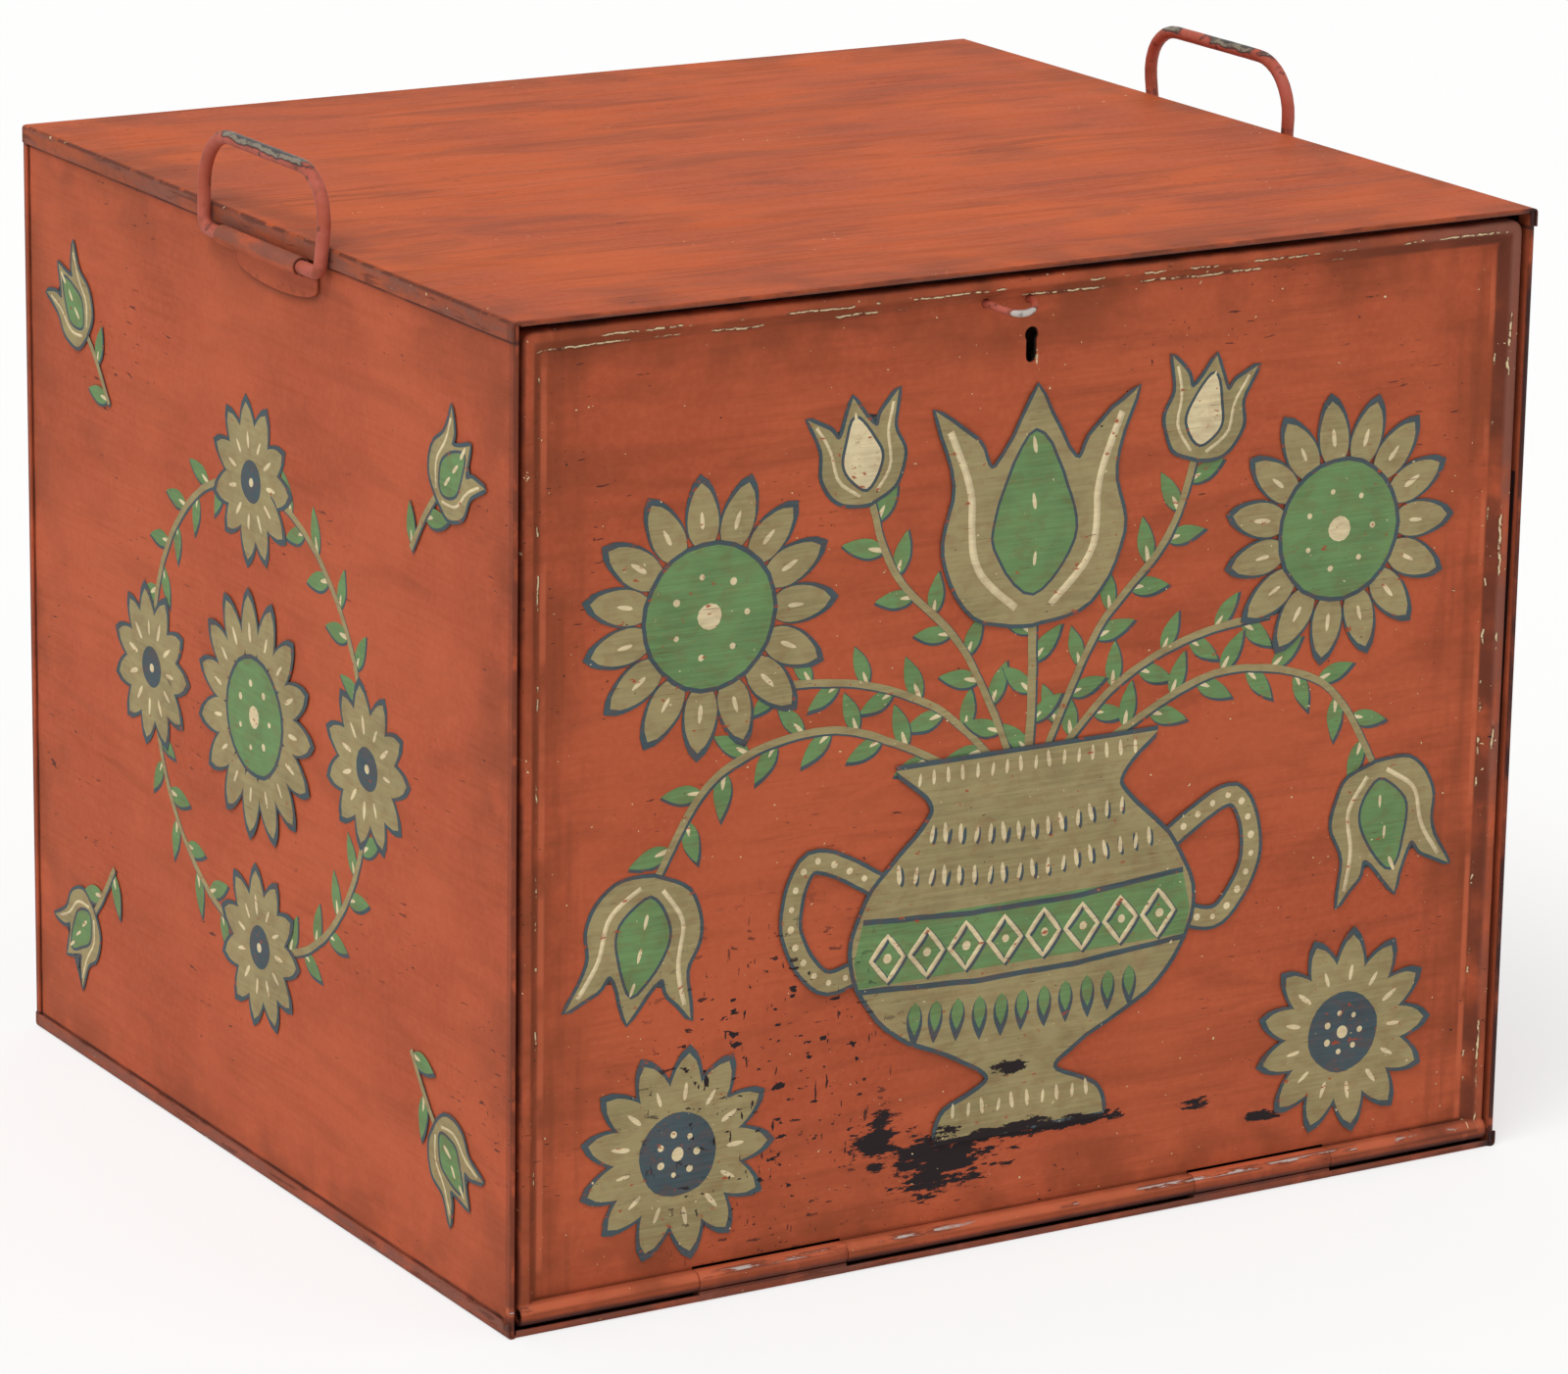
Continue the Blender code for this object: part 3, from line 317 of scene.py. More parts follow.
# Paint lost near the foot of the flap, as x, z, half-width and half-height in millimetres.
LOSSES = ((-63, 48, 9, 10), (-34, 36, 23, 13), (-6, 43, 30, 4), (26, 42, 20, 3),
          (-5, 69, 8, 3.2), (-50, 40, 8, 4), (82, 40, 7, 2.4), (112, 29, 9, 2.2))
SCUFFS = (-112, 76, 56, 68)  # scattered small chips, the same way
KEY_CHIPS = (-0.5, 343.6, 0.45, 3.4)  # pale edge of the keyhole, the same way


def lost_paint(f):
    """Masks of ragged dark patches on the flap, and of pale specks among them."""
    near = 9.0
    for patch in LOSSES:
        near = f.add("ShaderNodeMath", {0: near, 1: f.ellipse(*patch)}, operation="MINIMUM")
    ragged = f.add("ShaderNodeMapping", {"Vector": f.spot, "Scale": (1 / 11, 1, 1 / 3)})
    ragged = f.add("ShaderNodeTexNoise", {"Vector": ragged, "Scale": 1, "Detail": 6, "Roughness": 0.72})
    near = f.add("ShaderNodeMath", {0: ragged, 1: 4.2, 2: near}, operation="MULTIPLY_ADD")
    dark = f.add("ShaderNodeMapRange", {"Value": near, "From Min": 3.0, "From Max": 2.9})
    scuffed = f.add("ShaderNodeMapRange", {"Value": f.ellipse(*SCUFFS), "From Min": 1.25, "From Max": 0.7})
    level = f.product(f.blotches((6.5, 9, 2.8), 0.64, 0.655, 5), scuffed)
    upright = f.product(f.blotches((2.3, 9, 8), 0.665, 0.68, 14), scuffed)
    stray = f.blotches((4.2, 9, 1.9), 0.745, 0.76, 8)
    for marks in (level, upright, stray):
        dark = f.add("ShaderNodeMath", {0: dark, 1: marks}, operation="MAXIMUM")
    return dark, f.blotches((2.2, 9, 2.0), 0.745, 0.76, 15, 2)


def stroke(flow, size, width):
    """Size on each axis of a brush mark that runs along one of them."""
    return [size if axis == flow else width for axis in "XYZ"]


def nicks(f, flow):
    """Mask of short dark dashes and pits where the sheet was knocked, in loose clusters."""
    dashes = f.blotches(stroke(flow, 9, 1.5), 0.69, 0.71, 9, 2)
    pits = f.blotches(2, 0.72, 0.74, 10, 2)
    struck = f.add("ShaderNodeMath", {0: dashes, 1: pits}, operation="MAXIMUM")
    return f.product(struck, f.blotches(75, 0.5, 0.6, 11))


def ground_coat(f, red, flow, force):
    """Colour and relief of the brushed red: soft clouds, wisps of glaze, and fine bristle marks."""
    patchy = f.blotches(55, 0.38, 0.64, 3)
    bristle = f.blotches(stroke(flow, 60, 1.7), 0.4, 0.74, 4)
    paint = f.coats(f.rgba(red), ("deep_red", f.blotches(80, 0.36, 0.68, 1, 4), 0.6),
                    ("bright_red", f.blotches(2.6, 0.35, 0.7, 5, 4), 0.26),
                    ("umber", f.blotches(stroke(flow, 85, 17), 0.44, 0.72, 2, 6, 0.9), force),
                    ("umber", f.blotches(stroke(flow, 30, 4.5), 0.52, 0.76, 27, 5, 1.1), patchy,
                     force * 0.6),
                    ("umber", bristle, patchy, force * 0.5))
    return paint, bristle


def dress_red(f, paint, bristle, bare):
    """Satin sheen of old oil paint, with its bristle marks and the hollows of its chips."""
    height = f.add("ShaderNodeMath", {0: bare, 1: -1.5, 2: bristle}, operation="MULTIPLY_ADD")
    f.dress(paint, (bristle, 0.56, 0.68), (height, 0.05 * MM), PAINT_SHEEN)


def hinge_wear_and_shading(f, shade_under_roll):
    """Coats of the hinge roll: a painted highlight of brighter red on its upper front, thin broken lines of
    steel that have dark rims, and painted shade below it."""
    y, z = f.along["Y"], f.along["Z"]
    near = f.add("ShaderNodeMapRange", {"Value": y, "From Min": KNUCKLE_Y + 2.6,
                                        "From Max": KNUCKLE_Y + 2.2})
    near = f.product(near, f.blotches(30, 0.46, 0.52, 17, 4))
    front = f.add("ShaderNodeMapRange", {"Value": y, "From Min": KNUCKLE_Y + 5, "From Max": KNUCKLE_Y + 4})
    low = f.add("ShaderNodeMapRange", {"Value": z, "From Min": KNUCKLE_Z + 0.2,
                                       "From Max": KNUCKLE_Z - 2.6}, interpolation_type="SMOOTHSTEP")
    above_lip = f.band(z, KNUCKLE_Z, KNUCKLE_Z - 3.2, 0.2)
    # Painted highlight: a brighter red band on the roll's upper front, where the light falls
    return (("bright_red", front, f.band(z, KNUCKLE_Z + 2.6, 0.6, 1.6), f.blotches(45, 0.25, 0.6, 49, 4),
             0.75),
            # Painted shade: black on the lower front of the roll, down to the lip below it
            ("japan_and_shade", front, low, above_lip, f.blotches(50, 0.15, 0.45, 48, 4), shade_under_roll),
            ("worn_and_shade", near, f.band(z, KNUCKLE_Z + 2.8, 0.7, 0.8),
             f.blotches((13, 13, 1.3), 0.42, 0.5, 43, 4), 0.65),
            ("bright", near, f.band(z, KNUCKLE_Z + 2.8, 0.3, 0.4),
             f.blotches((13, 13, 1.3), 0.52, 0.57, 43, 4), 0.85))


def shadow_under_tail(f):
    """Mask of the painted shadow on a side below the half-moon tail of its handle's clip."""
    h, pivot = bpy.context.scene.deedbox_handle, PIVOT["right_handle_pivot"]
    low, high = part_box("right_handle_clip")
    reach, middle = (high.y - low.y - h.tail_shift) / 2 / MM, (pivot.y + h.tail_shift) / MM
    side = f.add("ShaderNodeMath", {0: f.along["X"]}, operation="SIGN")
    along = f.add("ShaderNodeMath", {0: f.along["Y"], 1: side}, operation="MULTIPLY")
    share = f.add("ShaderNodeMapRange", {"Value": along, "From Min": middle - reach,
                                         "From Max": middle + reach, "To Min": -1})
    sag = f.add("ShaderNodeMath", {0: share, 1: share}, operation="MULTIPLY")
    sag = f.add("ShaderNodeMath", {0: 1, 1: sag}, operation="SUBTRACT")
    sag = f.add("ShaderNodeMath", {0: sag}, operation="SQRT")
    edge = f.add("ShaderNodeMapRange", {"Value": sag, "To Min": (pivot.z - h.tail_end) / MM,
                                        "To Max": (pivot.z - h.tail) / MM})
    drop = f.add("ShaderNodeMath", {0: edge, 1: f.along["Z"]}, operation="SUBTRACT")
    below = f.add("ShaderNodeMapRange", {"Value": drop, "From Min": 4.5, "From Max": 0},
                  interpolation_type="SMOOTHSTEP")
    return f.product(below, f.band(along, middle, reach - 1, 4))


def case_red(name, red, flow, force, fold=None, shadow_seams=(), tail_shadows=False, hemmed=0.7):
    """Red oil paint on the case, smoky towards its edges and rubbed to dark varnish along them.

    A fold is the band of heights of a turned edge, which is rubbed thin all over, and a seam is the axis
    and place of a line of painted shadow, which also stands for dirt.
    """
    f = Finish(name)
    paint, bristle = ground_coat(f, red, flow, force)
    y, z, front = f.along["Y"], f.along["Z"], CASE_LOW.y / MM
    gaps = f.gaps(CASE_LOW, CASE_HIGH)
    # A point on a face is no distance from one side of the box, so its edge is the middle gap
    small = f.add("ShaderNodeMath", {0: gaps[0], 1: gaps[1]}, operation="MINIMUM")
    large = f.add("ShaderNodeMath", {0: gaps[0], 1: gaps[1]}, operation="MAXIMUM")
    other = f.add("ShaderNodeMath", {0: large, 1: gaps[2]}, operation="MINIMUM")
    edge = f.add("ShaderNodeMath", {0: small, 1: other}, operation="MAXIMUM")
    smoky = f.add("ShaderNodeMapRange", {"Value": edge, "From Min": 45, "From Max": 2},
                  interpolation_type="SMOOTHSTEP")
    rub = f.add("ShaderNodeMapRange", {"Value": edge, "From Min": 1.9, "From Max": 0.6})
    struck = nicks(f, flow)
    layers = [("umber", smoky, f.blotches(34, 0.36, 0.66, 6, 4), 0.55),
              ("worn_and_shade", rub, f.blotches(15, 0.38, 0.6, 7, 5), 0.7), ("japan_and_shade", struck, 0.75)]
    if fold:
        turned_edge = f.band(z, (fold[0] + fold[1]) / 2, (fold[1] - fold[0]) / 2, 0.4)
        ridge = f.add("ShaderNodeMapRange", {"Value": edge, "From Min": 1.5, "From Max": 0.8})
        behind = f.add("ShaderNodeMapRange", {"Value": y, "From Min": front + 2, "From Max": front + 5})
        layers += [("ash", turned_edge, 0.35),
                   ("ash", turned_edge, f.blotches((30, 30, 5), 0.42, 0.62, 12, 5), 0.7),
                   ("worn_and_shade", turned_edge, f.blotches((26, 26, 3), 0.57, 0.66, 13, 5), 0.7),
                   ("worn_and_shade", ridge, behind, f.blotches(10, 0.44, 0.5, 8, 5), 0.85),
                   ("primer", ridge, behind, f.blotches(7, 0.66, 0.68, 44), 0.8),
                   ("primer", f.blotches(2.4, 0.74, 0.755, 45, 2), f.blotches(70, 0.54, 0.6, 46))]
    # Darker front hem: paint rubbed thin, and also painted shade of the dark gap beside the flap, blackest
    # on the right
    hem = f.add("ShaderNodeMapRange", {"Value": y, "From Min": front + 1.4, "From Max": front + 0.5})
    right = f.add("ShaderNodeMapRange", {"Value": f.along["X"], "From Min": RIGHT_HEM - 5,
                                         "From Max": RIGHT_HEM})
    layers += [("worn_and_shade", hem, f.blotches(9, 0.3, 0.5, 22, 4), hemmed),
               ("japan_and_shade", hem, right, f.blotches((9, 9, 30), 0.3, 0.5, 24, 4), 0.85)]
    # Painted shadow along each seam, where a flange's edge stands off the sheet, with dirt in it too
    for axis, at in shadow_seams:
        line = f.band(f.along[axis], at, 0.25, 0.9)
        layers += [("worn_and_shade", line, 0.5), ("japan_and_shade", line, f.blotches(20, 0.3, 0.6, 16), 0.6)]
    # Painted shadow on the side below each clip's tail
    if tail_shadows:
        layers.append(("umber", shadow_under_tail(f), 0.75))
    wrapped = f.add("ShaderNodeMapRange", {"Value": gaps[0], "From Min": 1.4, "From Max": 1.0})
    flange = f.band(gaps[1], 0, BACK_BOX[1].y / MM - BACK_BOX[0].y / MM, 0.1)
    layers.append(("worn_and_shade", wrapped, flange, 0.45))
    dress_red(f, f.coats(paint, *layers, *hinge_wear_and_shading(f, 0.45)), bristle, struck)


def flap_red(name):
    """Red oil paint on the flap: painted shade in the slope of its rim, chipped to cream priming on the
    ridges, and knocked through to black varnish near its foot."""
    f = Finish(name)
    paint, bristle = ground_coat(f, "red", "X", 0.38)
    gaps = f.gaps(*FLAP_BOX)
    edge = f.add("ShaderNodeMath", {0: gaps[0], 1: gaps[2]}, operation="MINIMUM")
    smoky = f.add("ShaderNodeMapRange", {"Value": edge, "From Min": 46, "From Max": 8},
                  interpolation_type="SMOOTHSTEP")
    # Painted shade in the rim's slope, which turns away from the light; on the right it is darker still
    slope = f.product(f.band(edge, 6.6, 1.4, 1.8), f.blotches(26, 0.2, 0.6, 13, 4))
    right = f.add("ShaderNodeMapRange", {"Value": f.along["X"], "From Min": 110, "From Max": 200})
    high = f.add("ShaderNodeMapRange", {"Value": f.along["Z"], "From Min": 40, "From Max": 190,
                                        "To Min": 0.25})
    rub = f.add("ShaderNodeMapRange", {"Value": edge, "From Min": 1.4, "From Max": 0.3})
    layers = [("umber", smoky, f.blotches(30, 0.36, 0.64, 6, 4), 0.6),
              ("umber", f.band(gaps[0], 16, 6, 16), f.blotches((5, 9, 70), 0.42, 0.7, 18, 5), 0.4),
              ("bright_red", f.band(gaps[0], 10.2, 0.7, 1.3),
               f.blotches((40, 40, 34), 0.4, 0.56, 40, 4), 0.7),
              # painted shade in the slope
              ("umber", slope, 0.8), ("worn_and_shade", slope, right, 0.8),
              ("ash", f.band(edge, 1.5, 2.6, 1.5), right, high, f.blotches(40, 0.3, 0.6, 19, 4), 0.8),
              ("worn_and_shade", rub, f.blotches(15, 0.38, 0.6, 7, 5), 0.7)]
    wander = f.add("ShaderNodeMapping", {"Vector": f.spot, "Scale": (1 / 16, 1 / 16, 1 / 16)})
    wander = f.add("ShaderNodeTexNoise", {"Vector": wander, "Scale": 1, "Detail": 5, "Roughness": 0.6})
    ragged = f.add("ShaderNodeMapping", {"Vector": f.spot, "Scale": (1 / 3, 1 / 3, 1 / 3)})
    ragged = f.add("ShaderNodeTexNoise", {"Vector": ragged, "Scale": 1, "Detail": 3})
    wander = f.add("ShaderNodeMath", {0: ragged, 1: 0.6, 2: wander}, operation="MULTIPLY_ADD")
    top_gap = f.add("ShaderNodeMath", {0: FLAP_BOX[1].z / MM, 1: f.along["Z"]}, operation="SUBTRACT")
    top_line, side_line = (f.add("ShaderNodeMath", {0: wander, 1: 2.4, 2: gap}, operation="MULTIPLY_ADD")
                           for gap in (top_gap, gaps[0]))
    inset, under = (f.add("ShaderNodeMapRange", {"Value": gap, "From Min": 5, "From Max": 9})
                    for gap in (gaps[0], top_gap))
    torn = f.blotches(2.6, 0.38, 0.5, 25, 4)
    for line, at, shown, grain in (
            (top_line, 6.1, inset, f.blotches((15, 15, 40), 0.5, 0.56, 12, 5)),
            (top_line, 10.0, inset, f.blotches((26, 26, 40), 0.51, 0.56, 20, 5)),
            (side_line, 6.1, f.product(under, right), f.blotches((40, 40, 20), 0.52, 0.57, 26, 5)),
            (side_line, 10.0, under, f.blotches((40, 40, 9), 0.57, 0.61, 21, 4))):
        layers += [("worn_and_shade", f.band(line, at, 0.5, 0.6), shown, grain, 0.6),
                   ("primer", f.band(line, at, 0.16, 0.3), shown, grain, torn)]
    struck = nicks(f, "X")
    dark, pale = lost_paint(f)
    key_edge = f.add("ShaderNodeMapRange", {"Value": f.ellipse(*KEY_CHIPS), "From Min": 1,
                                            "From Max": 0.8})
    layers += [("japan_and_shade", struck, 0.75), ("japan_and_shade", dark), ("primer", pale),
               ("primer", key_edge, f.blotches((1.3, 9, 1.7), 0.4, 0.46, 47)), *hinge_wear_and_shading(f, 0.85)]
    bare = f.add("ShaderNodeMath", {0: struck, 1: dark}, operation="MAXIMUM")
    dress_red(f, f.coats(paint, *layers), bristle, bare)


def ornament_paint(name, tint, wear, flap):
    """Thin artist's oil over the red: dry streaks of the brush, a brown film of age, and the red in
    scratches and where it is rubbed off."""
    f = Finish(name)
    fresh = getattr(f.colours, tint)
    bristle = f.blotches((34, 34, 1.4), 0.34, 0.72, 21, 5, 0.4)
    layers = [([c * 0.58 for c in fresh], f.blotches(24, 0.35, 0.7, 22), 0.5),
              ([min(1, c * 1.25) for c in fresh], bristle, 0.5),
              ("umber", f.blotches((8, 8, 5), 0.42, 0.7, 28, 5, 0.6), 0.22),
              ("worn_and_shade", f.blotches((13, 13, 0.8), 0.68, 0.74, 29, 3, 0.3), 0.55),
              ("deep_red", f.blotches((4.2, 4.2, 2.2), wear, wear + 0.05, 23, 5), 0.9)]
    if flap:
        dark, pale = lost_paint(f)
        layers += [("japan_and_shade", dark), ("primer", pale)]
    f.dress(f.coats(f.rgba(tint), *layers), (bristle, 0.5, 0.66), (bristle, 0.08 * MM), PAINT_SHEEN)
    return f.material


def worn_rod(name, metal, shine, rod, axis, crown, smutty, spread):
    """Thin pinkish paint on bent steel, rubbed to a ragged strip of metal with black edges.

    The strip runs along the side that reaches out to the crown along an axis. Smutty rod is black
    along the crown itself. A strip spread wider runs further round the bends.
    """
    f = Finish(name)
    out = f.add("ShaderNodeMath", {0: f.along[axis], 1: math.copysign(1, crown)}, operation="MULTIPLY")
    stray = f.blotches(8, 0.25, 0.75, 30, 5)
    out = f.add("ShaderNodeMath", {0: stray, 1: 0.5 * rod, 2: out}, operation="MULTIPLY_ADD")
    below = f.add("ShaderNodeMath", {0: abs(crown) + 0.25 * rod, 1: out}, operation="SUBTRACT")
    below = f.add("ShaderNodeMath", {0: below, 1: rod * spread}, operation="DIVIDE")
    held, wide, ridge = (f.add("ShaderNodeMapRange", {"Value": below, "From Min": low, "From Max": high})
                         for low, high in ((0.72, 0.6), (1.0, 0.8), (0.2, 0.1)))
    bare = f.product(held, f.blotches(22, 0.42, 0.48, 32, 4))
    cloud = f.blotches(12, 0.35, 0.68, 31)
    paint = f.coats(f.rgba("pink"), ("deep_red", cloud, 0.6),
                    ("umber", f.blotches((6, 6, 9), 0.5, 0.72, 34, 4), 0.55),
                    ("worn_and_shade", f.blotches(8, 0.6, 0.65, 33, 4), 0.7),
                    ("japan_and_shade", f.blotches(6, 0.66, 0.69, 36, 4), smutty),
                    ("japan_and_shade", wide, f.blotches(22, 0.39, 0.44, 32, 4), 0.35 + 0.65 * smutty),
                    (metal, bare), ("japan_and_shade", bare, f.blotches(2.6, 0.52, 0.66, 35, 4), 0.6),
                    ("japan_and_shade", bare, ridge, smutty))
    f.tree.links.new(f.product(bare, shine), f.shader.inputs["Metallic"])
    f.dress(paint, (bare, 0.58, 0.42), (cloud, 0.1 * MM), VARNISH_SHEEN)


def clip_red(name, pivot, tail):
    """The side's red on the clip, with painted shade: black in the bore, brown in the corner under the
    sleeve and along the tail's lower edge; and a sleeve that hands have rubbed to a dusty grey-pink on top,
    which is also its painted highlight."""
    f = Finish(name)
    paint, bristle = ground_coat(f, "red", "Y", 0.2)
    across = f.add("ShaderNodeMath", {0: f.along["X"]}, operation="ABSOLUTE")
    across = f.add("ShaderNodeMath", {0: across, 1: abs(pivot.x)}, operation="SUBTRACT")
    level = f.add("ShaderNodeMath", {0: f.along["Z"], 1: pivot.z}, operation="SUBTRACT")
    reach = f.add("ShaderNodeVectorMath", {0: f.add("ShaderNodeCombineXYZ", {0: across, 2: level})}, 1,
                  operation="LENGTH")
    # Painted shade: black in the bore of the sleeve
    bore = f.add("ShaderNodeMapRange", {"Value": reach, "From Min": 3.4, "From Max": 2.9})
    roll = f.add("ShaderNodeMapRange", {"Value": reach, "From Min": 3.9, "From Max": 3.8})
    # Painted shade in the corner under the sleeve
    corner = f.product(f.band(across, -3.4, 0.9, 0.6), f.band(level, -3.2, 1.1, 1.0),
                       f.blotches(9, 0.25, 0.5, 36, 4), 0.6)
    paint = f.coats(paint, ("umber", roll, f.blotches((6, 15, 6), 0.36, 0.62, 37, 4), 0.5),
                    # painted shade along the tail's lower edge
                    ("worn_and_shade", f.band(level, 2 - tail, 0.3, 2.5), f.blotches(7, 0.45, 0.6, 39, 4), 0.3),
                    # top of the sleeve rubbed pale, which is also its painted highlight
                    ("ash", roll, f.band(level, 2.6, 2.2, 1.6),
                     f.blotches((5, 24, 5), 0.3, 0.55, 38, 4), 0.62),
                    ("worn_and_shade", corner), ("japan_and_shade", bore, 0.9))
    dress_red(f, paint, bristle, corner)


def dull_metal(name, tint, stain):
    """Plain metal under dust: fine file marks, darker blotches, and a soft sheen."""
    f = Finish(name)
    filed = f.blotches((26, 26, 0.5), 0.3, 0.75, 41, 4)
    tarnish = f.blotches(7, 0.42, 0.66, 42, 4)
    dark = [c * 0.6 for c in getattr(f.colours, tint)]
    paint = f.coats(f.rgba(tint), (dark, filed, 0.5), (stain, tarnish, 0.7))
    f.shader.inputs["Metallic"].default_value = 1
    f.dress(paint, (tarnish, 0.38, 0.62), (filed, 0.04 * MM), METAL_SHEEN)


def old_japan(name):
    """Black-brown stoving varnish left inside the case, dusty and rubbed to brown in clouds."""
    f = Finish(name)
    dust = f.blotches(60, 0.35, 0.7, 51, 4)
    streaks = f.blotches((90, 90, 3), 0.4, 0.75, 53)
    paint = f.coats(f.rgba("japan_and_shade"), ("worn_and_shade", dust, 0.55), ("umber", f.blotches(6, 0.66, 0.74, 52, 4), 0.7),
                    ("worn_and_shade", streaks, 0.25))
    f.dress(paint, (dust, 0.42, 0.66), (streaks, 0.05 * MM), VARNISH_SHEEN)


def seen(tree):
    """1 on the rays that show the backdrop: straight to the camera, mirrored, or through glass."""
    made = add(tree, "ShaderNodeLightPath", out="Is Camera Ray")
    for kind in ("Is Glossy Ray", "Is Transmission Ray"):
        made = add(tree, "ShaderNodeMath", {0: made, 1: add(tree, "ShaderNodeLightPath", out=kind)},
                   operation="MAXIMUM")
    return made


class Face:
    """A flat stretch of sheet seen square on: where it lies, how far it reaches, how it buckles."""

    def __init__(self, origin, across, out, half, low, high, depth, seed, up=(0, 0, 1)):
        self.origin, self.across = Vector(origin), Vector(across)
        self.out, self.up = Vector(out), Vector(up)
        self.half, self.low, self.high, self.depth, self.seed = half, low, high, depth, seed
        self.calm = bpy.context.scene.deedbox_sheet.calm

    def buckle(self, u, v):
        """How far the sheet stands out at a point: broad swells that die away at its folds."""
        edge = min(self.half - abs(u), v - self.low, self.high - v) / self.calm
        edge = min(max(edge, 0), 1)
        swell = sum(share * noise.noise(Vector((u * rate, v * rate, self.seed + shift)))
                    for share, rate, shift in SWELLS)
        return self.depth * swell * edge * edge * (3 - 2 * edge)

    def point(self, u, v, lift=0):
        return self.origin + self.across * u + self.up * v + self.out * (self.buckle(u, v) + lift)

    def flat(self, co):
        """Place on the sheet of a point in space, and how far off the sheet it is."""
        off = co - self.origin
        return off.dot(self.across), off.dot(self.up), off.dot(self.out)


def finishes():
    """Materials of the box, made once."""
    stock = bpy.data.materials
    if "old_japan" in stock:
        return stock
    sheet, h = bpy.context.scene.deedbox_sheet, bpy.context.scene.deedbox_handle
    flange_low, flange_high, foot = TOP_BOX[0].z / MM, TOP_BOX[1].z / MM, sheet.foot / MM
    # The top takes the warmer red, which is painted light for how the light falls on the top
    case_red("case_top_red", "top_red", "X", 0.5, (flange_low, flange_high - 0.9), hemmed=0.25)
    case_red("case_foot_red", "red", "X", 0.3, (0.9, foot), hemmed=0.35)
    # Lines of painted shadow below the top's flange, above the foot, and at the back's flange
    shadow_seams = (("Z", flange_low - 0.5), ("Z", foot + 0.5), ("Y", BACK_BOX[0].y / MM - 0.4))
    case_red("case_side_red", "red", "Y", 0.24, shadow_seams=shadow_seams, tail_shadows=True)
    case_red("case_back_red", "red", "X", 0.3, shadow_seams=shadow_seams[:2])
    flap_red("flap_red")
    worn_rod("handle_rod_paint", "handled", 0.4, h.rod / MM, "Z", HANDLE_BOX[1].z / MM, 0.85, 1)
    worn_rod("loop_wire_paint", "bright", 0.8, h.wire / MM, "Y", LOOP_BOX[0].y / MM, 0, 1.8)
    clip_red("clip_paint", PIVOT["left_handle_pivot"] / MM, h.tail / MM)
    dull_metal("dull_steel", "steel", "umber")
    dull_metal("dull_brass", "brass", "worn_and_shade")
    old_japan("old_japan")
    return stock


def new_piece(name, mesh, body, slot, *replaced):
    piece = bpy.data.objects.new(name, mesh)
    bpy.context.scene.collection.objects.link(piece)
    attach(piece, body)
    if replaced:
        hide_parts(*replaced)
    return piece


def shade(mesh):
    mesh.shade_smooth()
    mesh.set_sharp_from_angle(angle=CREASE)


def cut_cells(bm, cell, normal, low, high):
    """Mesh lines square to a direction, a cell apart."""
    for i in range(math.floor(low / cell), math.ceil(high / cell) + 1):
        bmesh.ops.bisect_plane(bm, geom=bm.verts[:] + bm.edges[:] + bm.faces[:],
                               plane_co=normal * i * cell, plane_no=normal)


def inside(face):
    """Whether a face of a sheet looks into the case, or out of the back of the flap."""
    sheet = bpy.context.scene.deedbox_sheet
    spot, normal = face.calc_center_median(), face.normal
    axis = max(range(3), key=lambda i: abs(normal[i]))
    towards = (CASE_LOW + CASE_HIGH) / 2 - spot
    front = CASE_LOW.y + sheet.inset + (BEHIND_RIM if axis == 1 else sheet.recess)
    within = (abs(spot.x) < SIDE_REACH - SIDE_BOX[1].x and front < spot.y < BACK_BOX[1].y - SKIN
              and SKIN < spot.z < CASE_HIGH.z - SKIN)
    return within and normal[axis] * towards[axis] > 0


def sheet_copy(node):
    """A CAD sheet with mesh lines across it, buckled along its face, and wavering edges."""
    face, sheet = sheet_faces()[node], bpy.context.scene.deedbox_sheet
    bm = bmesh.new()
    bm.from_mesh(frame["nodes"][node].data)
    bmesh.ops.remove_doubles(bm, verts=bm.verts, dist=WELD)
    spots = [face.flat(v.co) for v in bm.verts]
    for i, way in enumerate((face.across, face.up)):
        cut_cells(bm, sheet.cell, way, min(s[i] for s in spots), max(s[i] for s in spots))
    for v in bm.verts:
        u, w, off = face.flat(v.co)
        v.co += face.out * face.buckle(u, w)
        if off < -TURNED and face.out.z > 0:
            v.co.z += sheet.waver * noise.noise(Vector((v.co.x * WAVES, v.co.y * WAVES, 3)))
    for f in bm.faces:
        f.material_index = 1 if inside(f) else 0
    bm.normal_update()
    mesh = bpy.data.meshes.new(node)
    bm.to_mesh(mesh)
    bm.free()
    shade(mesh)
    return mesh


def dress_sheet(node, name, paint, body):
    """Piece for a CAD sheet: paint on its outside and old varnish on its inside."""
    mesh = sheet_copy(node)
    for finish in (paint, "old_japan"):
        mesh.materials.append(finishes()[finish])
    new_piece(name, mesh, body, "red_paint", node)


